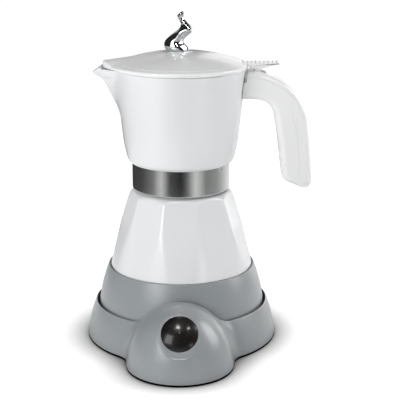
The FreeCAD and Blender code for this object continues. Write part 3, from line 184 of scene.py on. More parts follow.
finishes = {
    # satin moulded grey: broad soft highlights, a cool tint that hardly drifts
    "grey_abs": mouldedPlastic("satinGreyAbs", {"colour": "#909597", "deeper": "#8B9093", "rough": 0.4,
                               "grain": 0.9, "depth": 0.012, "coat": 0.7, "coatRough": 0.3}),
    # dark inner mouldings: no sparkle, they drop back behind the shell
    "dark_abs": mouldedPlastic("darkAbs", {"colour": "#26272A", "deeper": "#1F2023", "rough": 0.5,
                               "grain": 0.9, "depth": 0.012}),
    # unfilled nylon: warm, milky, waxy
    "natural_nylon": mouldedPlastic("naturalNylon", {"colour": "#DAD7CB", "deeper": "#D2CFC2", "rough": 0.5,
                                    "grain": 1.2, "depth": 0.01}),
    # rubber: nearly no highlight, a dusty grey
    "soft_rubber": mouldedPlastic("softRubber", {"colour": "#3A3C3E", "deeper": "#333537", "rough": 0.78,
                                  "grain": 0.8, "depth": 0.03}),
    # silicone: pale with a soft sheen-like gloss
    "white_silicone": mouldedPlastic("whiteSilicone", {"colour": "#E6E6E2", "deeper": "#DEDEDA", "rough": 0.55,
                                     "grain": 1.0, "depth": 0.01}),
    # zinc plate: bright, a little cloudy
    "zinc_screw": workedMetal("zincPlatedSteel", {"colour": "#B9BBB6", "deeper": "#A9ABA8", "rough": 0.32,
                              "marks": 0.8, "depth": 0.01}),
    # turned brass: warm and clean
    "contact_brass": workedMetal("turnedBrass", {"colour": "#C9A85C", "deeper": "#B8964A", "rough": 0.28,
                                 "marks": 0.8, "depth": 0.01}),
    # smoked lens: almost black under a wet gloss, with brown flecks that show it has depth
    "smoked_lens": smokedPlastic("smokedPolycarbonate", {"colour": "#0D0B0B", "fleck": "#3A322E", "speck": 1.1,
                                 "fade": (0.5, 0.72), "depth": 0.1, "rough": 0.3, "ior": 1.4,
                                 "coat": 0.4, "coatRough": 0.06}),
    # glass-fibre board: green with a faint weave-scale mottle
    "circuit_board": mouldedPlastic("fibreglassBoard", {"colour": "#2F5A3A", "deeper": "#295034", "rough": 0.4,
                                    "grain": 0.8, "depth": 0.01}),
    # red lamp cover: saturated and shiny
    "lamp_lens": mouldedPlastic("redLampLens", {"colour": "#A63A2A", "deeper": "#B04433", "rough": 0.15,
                                "grain": 1.0, "depth": 0.0, "coat": 0.5}),
    # spring wire: darker, sharp glints
    "spring_steel": workedMetal("springSteel", {"colour": "#9A9C9C", "deeper": "#868888", "rough": 0.25,
                                "marks": 0.6, "depth": 0.01}),
    # baked enamel over aluminium: bright white, crisp gloss, faint orange peel that bends reflections
    "white_enamel": mouldedPlastic("bakedWhiteEnamel", {"colour": "#E7E8EA", "deeper": "#E3E5E7", "rough": 0.3,
                                   "grain": 3.0, "depth": 0.03, "coat": 0.55, "coatRough": 0.06}),
    # white moulded plastic: a touch brighter and softer than the enamel
    "white_plastic": mouldedPlastic("glossyWhiteAbs", {"colour": "#F1F1F1", "deeper": "#EDEEEE", "rough": 0.28,
                                    "grain": 2.0, "depth": 0.012, "coat": 0.4, "coatRough": 0.12}),
    # cast and blasted aluminium: dull, granular
    "cast_aluminium": workedMetal("castAluminium", {"colour": "#B4B6B8", "deeper": "#9EA0A2", "rough": 0.42,
                                  "marks": 1.0, "depth": 0.04}),
    # polished band: dark and bright upright bars smeared along fine level brushing
    "brushed_band": brushedMetal("brushedSteel", {"colour": "#C2C4C2", "deeper": "#AEB0AE", "rough": 0.13,
                                 "radius": 38, "run": 9, "line": 0.7, "depth": 0.012}),
    # sheathed element: heat-browned steel
    "element_steel": workedMetal("elementSteel", {"colour": "#7C7770", "deeper": "#675F57", "rough": 0.45,
                                 "marks": 1.5, "depth": 0.02}),
    # glazed ceramic: cream, glassy
    "ceramic_body": mouldedPlastic("glazedCeramic", {"colour": "#E2DED2", "deeper": "#DAD6C9", "rough": 0.35,
                                   "grain": 1.5, "depth": 0.01}),
    # chrome: mirror-bright with hard dark breaks between its folds
    "chrome_knob": workedMetal("polishedChrome", {"colour": "#D4D6D8", "deeper": "#CACDCF", "rough": 0.05,
                               "marks": 2.5, "depth": 0.0}),
}

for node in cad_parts.values():
    for place in node.material_slots:
        place.material = finishes[place.material.name]
print("finishes on the", len(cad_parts), "carried-over pieces")


# Mesh helpers: every point below is in millimetres, in the same frame as the carried-over pieces

def arcPoints(start, middle, end, count):
    # points on the arc from start to end through middle, without start itself
    (ax, ay), (bx, by), (cx, cy) = start, middle, end
    d = 2 * (ax * (by - cy) + bx * (cy - ay) + cx * (ay - by))
    a2, b2, c2 = ax * ax + ay * ay, bx * bx + by * by, cx * cx + cy * cy
    px = (a2 * (by - cy) + b2 * (cy - ay) + c2 * (ay - by)) / d
    py = (a2 * (cx - bx) + b2 * (ax - cx) + c2 * (bx - ax)) / d
    radius = math.hypot(ax - px, ay - py)
    first, mid, last = [math.atan2(y - py, x - px) for x, y in (start, middle, end)]
    sweep = (last - first) % (2 * math.pi)
    if (mid - first) % (2 * math.pi) > sweep:
        sweep -= 2 * math.pi
    turns = [first + sweep * (k + 1) / count for k in range(count)]
    return [(px + radius * math.cos(t), py + radius * math.sin(t)) for t in turns]


def smoothMin(a, b, reach):
    h = np.maximum(reach - np.abs(a - b), 0) / reach
    return np.minimum(a, b) - h * h * reach / 4


def smoothMax(a, b, reach):
    return -smoothMin(-a, -b, reach)


def newPiece(name, points, faces):
    mesh = bpy.data.meshes.new(name)
    mesh.from_pydata([(x / 1000, y / 1000, z / 1000) for x, y, z in points], [], faces)
    work = bmesh.new()
    work.from_mesh(mesh)
    bmesh.ops.remove_doubles(work, verts=work.verts, dist=1e-6)
    bmesh.ops.recalc_face_normals(work, faces=work.faces)
    work.to_mesh(mesh)
    work.free()
    piece = bpy.data.objects.new(name, mesh)
    scene.collection.objects.link(piece)
    return piece


def ringPiece(name, rows, closed=True, around=True):
    # rows is an array of rings of points; closed joins the last ring to the first, around closes each ring
    rows = np.asarray(rows, float)
    count, size = rows.shape[:2]
    faces = []
    for i in range(count if closed else count - 1):
        j = (i + 1) % count
        for k in range(size if around else size - 1):
            m = (k + 1) % size
            faces.append((i * size + k, i * size + m, j * size + m, j * size + k))
    if around and not closed:
        faces.append(tuple(range(size)))
        faces.append(tuple((count - 1) * size + k for k in range(size)))
    if closed and not around:
        faces.append(tuple(i * size for i in range(count)))
        faces.append(tuple(i * size + size - 1 for i in range(count)))
    return newPiece(name, rows.reshape(-1, 3), faces)


def shade(piece, degrees=35):
    piece.data.shade_smooth()
    piece.data.set_sharp_from_angle(angle=math.radians(degrees))


def bakeModifiers(piece):
    shaped = bpy.data.meshes.new_from_object(piece.evaluated_get(bpy.context.evaluated_depsgraph_get()))
    piece.modifiers.clear()
    piece.data = shaped


def cutAway(piece, cutter):
    cut = piece.modifiers.new("cut", "BOOLEAN")
    cut.operation = "DIFFERENCE"
    cut.solver = "EXACT"
    cut.object = cutter
    bakeModifiers(piece)
    bpy.data.objects.remove(cutter)


def settle(piece, body, slotName, *nodes):
    # finish, body and the carried-over pieces that this one stands for
    piece.data.materials.clear()
    piece.data.materials.append(finishes[slotName])
    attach(piece, body)
    if nodes:
        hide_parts(*nodes)


# Power base: a round body that flows into the front lobe, with the well for the pot and the button's dish

baseShape = {
    "bottom": 1.6, "wall": ((75.0, 1.6), (73.1, 13.1), (68.3, 28.3)), "rimTop": 29.2, "rimRound": 0.9,
    "well": 67.5, "wellFloor": 15.0, "floorUnder": 12.6, "wellBack": 69.0, "hole": 17.05, "skin": 2.4,
    "lobeCentre": -73.0, "lobeRadius": 40.5, "lobeHeight": 52.0, "flow": 9.0,
    # the lobe's crest sinks by crestDrop between crestFrom and the well's edge
    "crestFrom": -97.0, "crestDrop": 2.8,
    "dish": 18.6, "dishSoft": 1.2, "boss": 20.8, "bossDepth": 5.0, "bore": 13.65, "boreHalf": 14.0, "boreSides": 160,
    # each outline is searched in a fan about a point core mm out, no further than these limits
    "core": 56.0, "fanSteps": 500, "fanReach": 80.0, "farthest": 130.0, "highest": 70.0,
    "lobeHalfAngle": 46.0, "lobeColumns": 190, "otherColumns": 100, "rows": 170, "innerRows": 50,
}
buttonPlace = {"tilt": math.radians(37.0), "centre": (0.0, -98.6, 35.394)}


def alongButton(x, y, z):
    # distance out along the button's axis, and away from that axis
    cx, cy, cz = buttonPlace["centre"]
    c, s = math.cos(buttonPlace["tilt"]), math.sin(buttonPlace["tilt"])
    out = -(y - cy) * c + (z - cz) * s
    up = (y - cy) * s + (z - cz) * c
    return out, np.sqrt((x - cx) ** 2 + up ** 2)


def baseDistance(x, y, z, dished):
    b = baseShape
    profile = [b["wall"][0]] + arcPoints(*b["wall"], 60)
    heights = [p[1] for p in profile]
    wall = np.interp(np.minimum(z, heights[-1]), heights, [p[0] for p in profile])
    across = np.hypot(x, y) - (wall - b["rimRound"])
    above = z - (b["rimTop"] - b["rimRound"])
    body = np.hypot(np.maximum(across, 0), np.maximum(above, 0)) - b["rimRound"]
    body = body + np.minimum(np.maximum(across, above), 0)
    inward = np.clip((y - b["crestFrom"]) / (-b["well"] - b["crestFrom"]), 0, 1)
    a, c = b["lobeRadius"], b["lobeHeight"] - b["crestDrop"] * inward * inward * (3 - 2 * inward)
    dy = y - b["lobeCentre"]
    near = np.sqrt((x / a) ** 2 + (dy / a) ** 2 + (z / c) ** 2)
    steep = np.sqrt((x / a / a) ** 2 + (dy / a / a) ** 2 + (z / c / c) ** 2)
    lobe = near * (near - 1) / np.maximum(steep, 1e-9)
    whole = smoothMin(body, lobe, b["flow"])
    if dished:
        out, away = alongButton(x, y, z)
        whole = smoothMax(whole, np.minimum(out, b["dish"] - away), b["dishSoft"])
    return whole


def bisect(inside, low, high, halvings=34):
    # the place between low and high where inside() stops being negative
    for _ in range(halvings):
        middle = (low + high) / 2
        within = inside(middle) < 0
        low = np.where(within, middle, low)
        high = np.where(within, high, middle)
    return (low + high) / 2


def baseSkin(angles, inset, wellEdge, rows, dished):
    # the section's outline at each angle, from the bottom up to where it meets the well's edge
    b = baseShape
    c, s = np.cos(angles), np.sin(angles)

    def level(radius, height):
        value = baseDistance(radius * c, radius * s, height, dished) + inset
        if inset:
            out, away = alongButton(radius * c, radius * s, height)
            value = np.maximum(value, np.minimum(out + b["bossDepth"], b["boss"] - away))
        return value

    zero = 0 * angles
    start = bisect(lambda r: level(r, b["bottom"] + zero), zero + b["core"], zero + b["farthest"])
    top = bisect(lambda z: level(wellEdge + zero, z), zero + b["floorUnder"], zero + b["highest"])
    first = np.arctan2(b["bottom"], start - b["core"])
    last = np.arctan2(top, wellEdge - b["core"])
    outline = []
    for share in np.linspace(0, 1, b["fanSteps"]):
        turn = first + (last - first) * share
        reach = bisect(lambda d: level(b["core"] + d * np.cos(turn), d * np.sin(turn)), zero, zero + b["fanReach"])
        outline.append((b["core"] + reach * np.cos(turn), reach * np.sin(turn)))
    outline = np.array(outline)
    steps = np.hypot(*np.diff(outline, axis=0).transpose(1, 0, 2))
    length = np.vstack([zero, np.cumsum(steps, axis=0)])
    even = []
    for k in range(len(angles)):
        at = np.linspace(0, length[-1, k], rows)
        even.append([np.interp(at, length[:, k], outline[:, j, k]) for j in (0, 1)])
    even = np.array(even).transpose(2, 1, 0)
    even[-1, 0] = wellEdge
    return even


def makeBase():
    b = baseShape
    half = math.radians(b["lobeHalfAngle"])
    front = np.linspace(-math.pi / 2 - half, -math.pi / 2 + half, b["lobeColumns"], endpoint=False)
    back = np.linspace(-math.pi / 2 + half, 1.5 * math.pi - half, b["otherColumns"], endpoint=False)
    angles = np.concatenate([front, back])
    outer = baseSkin(angles, 0.0, b["well"], b["rows"], True)
    inner = baseSkin(angles, b["skin"], b["wellBack"], b["innerRows"], False)[::-1]
    rows = list(outer)
    for radius, height in ((b["well"], b["wellFloor"]), (b["hole"], b["wellFloor"]), (b["hole"], b["floorUnder"]),
                           (b["wellBack"], b["floorUnder"])):
        rows.append(np.array([0 * angles + radius, 0 * angles + height]))
    rows += list(inner)
    rings = [np.stack([r[0] * np.cos(angles), r[0] * np.sin(angles), r[1]], axis=1) for r in rows]
    piece = ringPiece("powerBase", rings)
    c, s = math.cos(buttonPlace["tilt"]), math.sin(buttonPlace["tilt"])
    cx, cy, cz = buttonPlace["centre"]
    turns = np.linspace(0, 2 * math.pi, b["boreSides"], endpoint=False)
    drill = []
    for depth in (-b["boreHalf"], b["boreHalf"]):
        across, up = b["bore"] * np.cos(turns), b["bore"] * np.sin(turns)
        drill.append(np.stack([cx + across, cy - depth * c + up * s, cz + depth * s + up * c], axis=1))
    cutAway(piece, ringPiece("bore", drill, closed=False))
    shade(piece, 38)
    settle(piece, "power_base", "grey_abs", "base_shell")


makeBase()
print("power base made")


def splineThrough(at, knots, values):
    # natural cubic spline through the given values
    x, y = np.asarray(knots, float), np.asarray(values, float)
    count, step = len(x), np.diff(x)
    slope = np.diff(y) / step
    grid, right = np.eye(count), np.zeros(count)
    for i in range(1, count - 1):
        grid[i, i - 1:i + 2] = step[i - 1], 2 * (step[i - 1] + step[i]), step[i]
        right[i] = 6 * (slope[i] - slope[i - 1])
    bend = np.linalg.solve(grid, right)
    i = np.clip(np.searchsorted(x, at) - 1, 0, count - 2)
    a = (x[i + 1] - at) / step[i]
    b = 1 - a
    return a * y[i] + b * y[i + 1] + ((a ** 3 - a) * bend[i] + (b ** 3 - b) * bend[i + 1]) * step[i] ** 2 / 6


def joinMesh(piece, *others):
    work = bmesh.new()
    for one in (piece,) + others:
        work.from_mesh(one.data)
    work.to_mesh(piece.data)
    work.free()
    for one in others:
        bpy.data.objects.remove(one)


def rod(name, radius, start, end, sides=96):
    # a round bar between two points, used for bores
    start, end = Vector(start), Vector(end)
    turn = (end - start).to_track_quat("Z", "Y")
    rings = []
    for place in (start, end):
        ring = [place + turn @ Vector((radius * math.cos(2 * math.pi * k / sides),
                                       radius * math.sin(2 * math.pi * k / sides), 0)) for k in range(sides)]
        rings.append([tuple(p) for p in ring])
    return ringPiece(name, rings, closed=False)


def roundBlock(name, low, high, soft):
    # a block whose four edges along X are rounded
    (x0, y0, z0), (x1, y1, z1) = low, high
    ring = []
    for cy, cz, first in ((y1 - soft, z1 - soft, 0), (y0 + soft, z1 - soft, 90), (y0 + soft, z0 + soft, 180),
                          (y1 - soft, z0 + soft, 270)):
        for k in range(7):
            turn = math.radians(first + 15 * k)
            ring.append((cy + soft * math.cos(turn), cz + soft * math.sin(turn)))
    return ringPiece(name, [[(x, y, z) for y, z in ring] for x in (x0, x1)], closed=False)


def turned(profile, angles):
    # rings for a turned shape; each profile point is a radius and a height
    return [np.stack([r * np.cos(angles), r * np.sin(angles), z + 0 * angles], axis=1) for r, z in profile]


def threadRidge(name, radius, reach, low, turns, pitch=3.0, root=0.3):
    rings, half = [], 0.25 * pitch
    inner = radius - math.copysign(root, reach)
    for k in range(int(turns * 72) + 1):
        turn = 2 * math.pi * k / 72
        z = low + pitch * k / 72
        rings.append([(r * math.cos(turn), r * math.sin(turn), z + dz)
                      for r, dz in ((inner, -half), (radius + reach, -0.12), (radius + reach, 0.12), (inner, half))])
    return ringPiece(name, rings, closed=False)


# Boiler: ten flat sides cut into a cone, with edges that the enamel has softened

boilerShape = {
    "outside": [(1.0, 42.0), (52.2, 42.0), (52.8, 42.2), (53.0, 42.8), (53.0, 56.1), (55.3, 56.8), (55.3, 58.0),
                (55.5, 58.3)],
    "cone": (45.8, 100.0, 0.244019), "coneFrom": 58.6, "coneTop": 112.0, "coneRows": 74,
    "shoulder": ((42.872, 112.0), (40.97, 115.3), (36.5, 118.9)),
    "neck": [(34.0, 119.4), (33.2, 119.75), (33.0, 120.2), (33.0, 135.5), (32.5, 136.0), (30.5, 136.0),
             (30.0, 135.5)],
    "inside": [(30.0, 119.4), (31.2, 117.8), (36.8, 112.0), (52.8, 59.0), (50.0, 54.2), (50.0, 46.0), (49.0, 45.0),
               (1.0, 45.0)],
    "facets": 10, "facetRadius": 55.561, "facetHeight": 60.0, "facetSlope": 0.3020191, "edge": 0.9,
    "thread": (33.0, 0.8, 122.8, 2.5), "valveBore": 4.05, "valveHeight": 96.0,
}


def makeBoiler():
    b = boilerShape
    radius, height, slope = b["cone"]
    heights = np.linspace(b["coneFrom"], b["coneTop"], b["coneRows"])
    cone = [(radius + slope * (height - z), z) for z in heights]
    profile = b["outside"] + cone + arcPoints(*b["shoulder"], 12) + b["neck"] + b["inside"]
    # 32 columns to a facet, and one on each edge
    angles = np.radians(np.arange(0, 360, 1.125) - 90 + 18)
    rings = []
    for k, (r, z) in enumerate(profile):
        reach = r + 0 * angles
        if k < len(profile) - len(b["neck"]) - len(b["inside"]):
            facet = b["facetRadius"] - b["facetSlope"] * (z - b["facetHeight"])
            sector = 2 * math.pi / b["facets"]
            away = (angles + math.pi / 2 + sector / 2) % sector - sector / 2
            # the neighbour across each edge is blended in, so that the edge is round
            flat = facet / np.cos(away)
            beside = facet / np.cos(sector - np.abs(away))
            reach = smoothMin(reach, smoothMin(flat, beside, b["edge"]), b["edge"])
        rings.append(np.stack([reach * np.cos(angles), reach * np.sin(angles), z + 0 * angles], axis=1))
    piece = ringPiece("enamelBoiler", rings, closed=False)
    tilt = math.atan(b["facetSlope"])
    z = b["valveHeight"]
    y = b["facetRadius"] - b["facetSlope"] * (z - b["facetHeight"])
    out = Vector((0, math.cos(tilt), math.sin(tilt)))
    place = Vector((0, y, z))
    cutAway(piece, rod("valveBore", b["valveBore"], place - out * 12, place + out * 8))
    joinMesh(piece, threadRidge("neckThread", *b["thread"]))
    shade(piece, 32)
    settle(piece, "pot", "white_enamel", "boiler")


makeBoiler()
print("boiler made")


# Jug: a turned wall with a beak that grows out of it, and a lip that slopes down to the beak's tip

jugShape = {
    "foot": [(38.3, 141.5), (38.9, 141.5)], "curl": ((38.9, 141.5), (40.4, 142.9), (41.5, 144.9)),
    "belly": ((41.5, 144.9), (43.4, 152.5), (45.0, 163.0)), "waist": (45.0, 163.0), "rim": (50.4, 214.2),
    "innerFloor": [(36.5, 146.0), (25.0, 146.0), (12.0, 146.0), (4.7, 146.0), (4.7, 143.5), (25.0, 143.5),
                   (25.0, 142.0), (38.3, 142.0)],
    "innerCurl": ((36.5, 146.0), (38.7, 147.2), (39.9, 150.0)),
    "innerBelly": ((39.9, 150.0), (41.4, 152.9), (43.0, 163.0)), "wall": 2.0, "rimRound": 0.7,
    "heights": (180.0, 187.0, 197.0, 205.0, 207.6, 209.6, 211.5, 217.0),
    "tips": (46.2, 49.9, 55.0, 59.2, 62.2, 66.4, 68.1, 68.6),
    "spread": (9.0, 15.0, 19.0, 21.5, 22.2, 22.7, 23.0, 23.0),
    "nose": 4.5, "noseInside": 2.6, "thinner": 2.4, "narrower": 2.2, "flow": 3.2,
    # above blendFrom the beak flows out of the wall; below beakFrom it draws back by beakFade mm a mm
    "blendFrom": 172.0, "beakFrom": 180.0, "beakFade": 0.8,
    "lipStart": 60.3, "lipRise": 1.8, "lipSlope": 0.648, "lipLowest": 190.0, "lipHighest": 217.0,
    "fineHalfAngle": 32.0,
    "lug": ((43.0, -6.0, 193.8), (64.0, 6.0, 204.2)),
}


def noseReach(away, root, spread, tip, nose):
    # distance out to a V with a round nose, seen from above, at an angle away from its middle
    a = root * np.cos(spread) - (tip - nose)
    b = root * np.sin(spread)
    lean = np.arctan2(b, a) - np.arccos(np.clip(nose / np.hypot(a, b), -1, 1))
    centre = tip - nose
    far = centre * np.cos(lean) + nose
    line = np.where(away < lean, far / np.cos(np.minimum(away, lean) - lean), far * np.cos(away - lean))
    nearTip = np.minimum(away, np.arcsin(np.clip(nose / centre, -1, 1)) - 1e-6)
    tipArc = centre * np.cos(nearTip) + np.sqrt(nose ** 2 - (centre * np.sin(nearTip)) ** 2)
    edge = np.arctan2(nose * np.sin(lean), centre + nose * np.cos(lean))
    return np.where(away < edge, tipArc, line)


def jugWall(z):
    (r0, z0), (r1, z1) = jugShape["waist"], jugShape["rim"]
    return r0 + (z - z0) * (r1 - r0) / (z1 - z0)


def beakReach(away, z, inside):
    j = jugShape
    tip = splineThrough(z, j["heights"], j["tips"])
    spread = np.radians(np.interp(z, j["heights"], j["spread"]))
    if inside:
        return noseReach(away, jugWall(z) - j["wall"] - 1, spread - math.radians(j["narrower"]),
                         tip - j["thinner"], j["noseInside"])
    return noseReach(away, jugWall(z) - 1, spread, tip, j["nose"])


def lipHeight(out):
    # out is the distance from the axis towards the beak
    j = jugShape
    beyond = np.maximum(out - j["lipStart"], 0)
    step = np.clip((out - j["lipStart"] + 0.5) / 0.5, 0, 1)
    return j["rim"][1] + step * step * (3 - 2 * step) * j["lipRise"] - beyond * j["lipSlope"]


def makeJug():
    j = jugShape
    fine = math.radians(j["fineHalfAngle"])
    angles = np.concatenate([np.linspace(math.pi - fine, math.pi + fine, 150, endpoint=False),
                             np.linspace(math.pi + fine, 3 * math.pi - fine, 170, endpoint=False)])
    away = np.abs(angles % (2 * math.pi) - math.pi)
    cosine, sine = np.cos(angles), np.sin(angles)

    def reachAt(z, inside):
        wall = jugWall(z) - (j["wall"] if inside else 0)
        beak = beakReach(away, np.maximum(z, j["beakFrom"]), inside)
        beak = beak - np.maximum(j["beakFrom"] - z, 0) * j["beakFade"]
        return np.where(z > j["blendFrom"], smoothMax(wall, beak, j["flow"]), wall)

    def topOf(inside):
        return bisect(lambda z: z - lipHeight(-reachAt(z, inside) * cosine), 0 * angles + j["lipLowest"],
                      0 * angles + j["lipHighest"])

    def ring(reach, z):
        return np.stack([reach * cosine, reach * sine, z + 0 * angles], axis=1)

    rings = turned(j["foot"] + arcPoints(*j["curl"], 8) + arcPoints(*j["belly"], 18), angles)
    outerTop, innerTop = topOf(False), topOf(True)
    soft, waist = j["rimRound"], j["waist"][1]
    for share in np.linspace(0, 1, 64)[1:]:
        z = waist + share * (outerTop - soft - waist)
        rings.append(ring(reachAt(z, False), z))
    outer, inner = reachAt(outerTop - soft, False), reachAt(innerTop - soft, True)
    for turn in np.radians(np.linspace(0, 90, 6))[1:]:
        reach = outer - soft * (1 - np.cos(turn))
        rings.append(ring(reach, lipHeight(-reach * cosine) - soft * (1 - np.sin(turn))))
    for share in np.linspace(0, 1, 8)[1:-1]:
        reach = outer - soft + share * (inner - outer + 2 * soft)
        rings.append(ring(reach, lipHeight(-reach * cosine)))
    for turn in np.radians(np.linspace(90, 0, 6))[:-1]:
        reach = inner + soft * (1 - np.cos(turn))
        rings.append(ring(reach, lipHeight(-reach * cosine) - soft * (1 - np.sin(turn))))
    for share in np.linspace(1, 0, 60):
        z = waist + share * (innerTop - soft - waist)
        rings.append(ring(reachAt(z, True), z))
    inside = arcPoints(*j["innerCurl"], 8) + arcPoints(*j["innerBelly"], 14)
    rings += turned(inside[::-1][1:] + j["innerFloor"], angles)
    piece = ringPiece("enamelJug", rings)
    joinMesh(piece, roundBlock("handleLug", *j["lug"], 1.0))
    shade(piece, 40)
    settle(piece, "jug", "white_enamel", "jug")


makeJug()
print("jug made")


# Lid: a low dome with a nose over the beak and a notch for the thumb lever

lidShape = {
    "radius": 51.4, "bottom": 214.6, "crown": 227.003, "dome": 141.0, "wall": 2.2, "edgeRound": 0.9,
    "noseTip": 59.4, "noseRound": 8.0, "noseSpread": 32.0, "noseFlow": 2.4, "noseTop": 219.8,
    # the rings are round up to stretchFrom mm and take the nose's outline from there to the edge
    "stretchFrom": 18.0, "ridge": 20.0, "ridgeStart": 2.0,
    "flow": 1.6, "pad": 8.9, "padTop": 227.1, "hole": 1.5,
    "flange": (46.0, 47.4, 211.6, 219.0), "flangeGap": 18.0, "boss": (1.5, 4.6, 221.8, 225.2),
    "notch": ((46.85, -7.15, 216.1), (62.0, 7.15, 232.0)), "notchWall": 2.2,
}


def lidHeight(x, y, sink):
    # the lid's top at a place: its dome, the ridge of the nose and the knob's pad, or sink mm under them
    s = lidShape
    centre = s["crown"] - s["dome"]
    away = np.hypot(x, y)
    dome = centre + np.sqrt(s["dome"] ** 2 - away ** 2)
    rise = s["noseTop"] - centre
    lean = math.atan2(s["noseTip"], rise) - math.acos(s["dome"] / math.hypot(s["noseTip"], rise))
    startX = -math.sin(lean) * (s["dome"] - s["ridge"]) - math.cos(lean) * s["ridgeStart"]
    startZ = centre + math.cos(lean) * (s["dome"] - s["ridge"]) - math.sin(lean) * s["ridgeStart"]
    meetX = -math.sin(lean) * s["dome"] - math.cos(lean) * s["ridgeStart"]
    across = np.sqrt(np.maximum(s["ridge"] ** 2 - y ** 2, 0))
    ridge = startZ + (x - startX) * math.tan(lean) + across / math.cos(lean)
    ridge = np.where(x < meetX, ridge, dome - 50)
    top = smoothMax(dome, ridge, s["flow"] * np.clip((meetX - x) / 12, 0.05, 1))
    if sink == 0:
        top = smoothMax(top, s["padTop"] - 4 * np.maximum(away - s["pad"], 0), 0.15)
    return top - sink


def makeLid():
    s = lidShape
    angles = np.linspace(0, 2 * math.pi, 400, endpoint=False)
    away = np.abs(angles % (2 * math.pi) - math.pi)
    nose = noseReach(away, s["radius"] - 0.5, math.radians(s["noseSpread"]), s["noseTip"], s["noseRound"])
    plan = smoothMax(s["radius"] + 0 * angles, nose, s["noseFlow"])
    cosine, sine = np.cos(angles), np.sin(angles)

    def spread(radius, inset=0.0):
        share = np.clip((radius - s["stretchFrom"]) / (s["radius"] - inset - s["stretchFrom"]), 0, 1)
        return radius + (plan - s["radius"]) * share * share * (3 - 2 * share)

    def ring(reach, z):
        return np.stack([reach * cosine, reach * sine, z + 0 * angles], axis=1)

    rings = []
    soft = s["edgeRound"]
    for radius in np.concatenate([np.linspace(s["hole"], 8.2, 8), np.linspace(8.6, 9.6, 9),
                                  np.linspace(10.5, s["radius"] - soft - 0.4, 46)]):
        reach = spread(radius)
        rings.append(ring(reach, lidHeight(reach * cosine, reach * sine, 0)))
    for turn in np.radians(np.linspace(90, 0, 8)):
        reach = plan - soft * (1 - np.cos(turn))
        rings.append(ring(reach, lidHeight(reach * cosine, reach * sine, 0) - soft * (1 - np.sin(turn))))
    rings += [ring(plan, 0 * angles + s["bottom"] + 0.4), ring(plan - 0.12, 0 * angles + s["bottom"] + 0.12),
              ring(plan - 0.4, 0 * angles + s["bottom"]), ring(plan - s["wall"], 0 * angles + s["bottom"])]
    (x0, _, _), (_, y1, _) = s["notch"]
    for radius in np.concatenate([np.linspace(s["radius"] - s["wall"], 5.0, 50), [s["hole"]]]):
        reach = spread(radius, s["wall"])
        x, y = reach * cosine, reach * sine
        beside = np.hypot(np.maximum(x0 - s["notchWall"] - x, 0), np.maximum(np.abs(y) - y1 - s["notchWall"], 0))
        under = np.minimum(lidHeight(x, y, s["wall"]), s["bottom"] + 5 * beside)
        rings.append(ring(reach, np.maximum(under, s["bottom"])))
    piece = ringPiece("enamelLid", rings)
    low, high = s["notch"]
    cutAway(piece, roundBlock("leverNotch", low, high, 0.3))
    inner, outer, low, high = s["flange"]
    gap = math.asin(s["flangeGap"] / outer)
    sweep = np.linspace(math.pi + gap, 3 * math.pi - gap, 200)
    profile = [(inner, low + 0.3), (inner + 0.3, low), (outer - 0.3, low), (outer, low + 0.3), (outer, high),
               (inner, high)]
    flange = ringPiece("lidFlange", turned(profile, sweep), around=False)
    inner, outer, low, high = s["boss"]
    profile = [(inner, low), (outer, low), (outer, high), (inner, high)]
    boss = ringPiece("screwBoss", turned(profile, np.linspace(0, 2 * math.pi, 64, endpoint=False)))
    joinMesh(piece, flange, boss)
    shade(piece, 38)
    settle(piece, "lid", "white_plastic", "lid")


makeLid()
print("lid made")


# Knob: a flame of polished metal, twisted as it leans left, right and left again

knobShape = {
    "foot": 227.1,
    "rises": (0, 2.4, 4.6, 6.8, 9.0, 11.2, 13.4, 15.3, 17.2, 19.1, 20.9, 22.8, 25.0, 26.8, 28.3, 29.4),
    "lean": (-1.5, -2.7, -3.8, -4.7, -3.9, -1.7, 1.0, 3.1, 4.3, 4.4, 3.4, 2.1, 0.54, 0.16, 0.9, 1.6),
    "half": (8.3, 9.0, 8.6, 7.4, 6.9, 6.6, 6.4, 5.95, 5.25, 4.2, 3.1, 2.5, 2.2, 2.5, 2.1, 1.4),
    "depth": 0.76, "thickest": 0.88, "twistRises": (0, 9, 13, 15.4, 18, 21, 26, 29.4), "corner": 1.45,
    "twist": (15, 0, -20, -45, -70, -90, -100, -110), "taperFrom": 29.0, "top": 29.85, "footRound": 0.6,
    "screw": 1.5, "screwDepth": 6.3,
}


def makeKnob():
    s = knobShape
    turns = np.linspace(0, 2 * math.pi, 120, endpoint=False)
    power = 2 / s["corner"]
    rings = []
    start, tip, soft = s["taperFrom"], s["top"] - s["taperFrom"], s["footRound"]
    rises = np.concatenate([np.linspace(0, start, 130), start + tip * np.sin(np.linspace(0.15, 1.5708, 10))])
    for rise in rises:
        half = float(splineThrough(min(rise, start), s["rises"], s["half"]))
        lean = float(splineThrough(min(rise, s["rises"][-1]), s["rises"], s["lean"]))
        if rise > start:
            half *= math.sqrt(max(1 - ((rise - start) / tip) ** 2, 0.0004))
        if rise < soft:
            half -= soft - math.sqrt(soft ** 2 - (soft - rise) ** 2)
        twist = math.radians(float(splineThrough(rise, s["twistRises"], s["twist"])))
        u = np.sign(np.cos(turns)) * np.abs(np.cos(turns)) ** power
        v = np.sign(np.sin(turns)) * np.abs(np.sin(turns)) ** power * s["depth"]
        x = u * math.cos(twist) - v * math.sin(twist)
        y = u * math.sin(twist) + v * math.cos(twist)
        scale = half / x.max()
        flatter = min(1, s["thickest"] / y.max())
        rings.append(np.stack([lean + x * scale, y * scale * flatter, s["foot"] + rise + 0 * turns], axis=1))
    piece = ringPiece("flameKnob", rings, closed=False)
    foot = s["foot"]
    cutAway(piece, rod("knobScrewHole", s["screw"], (0, 0, foot - 1), (0, 0, foot + s["screwDepth"]), 48))
    shade(piece, 50)
    settle(piece, "lid", "chrome_knob", "lid_knob")


makeKnob()
print("knob made")


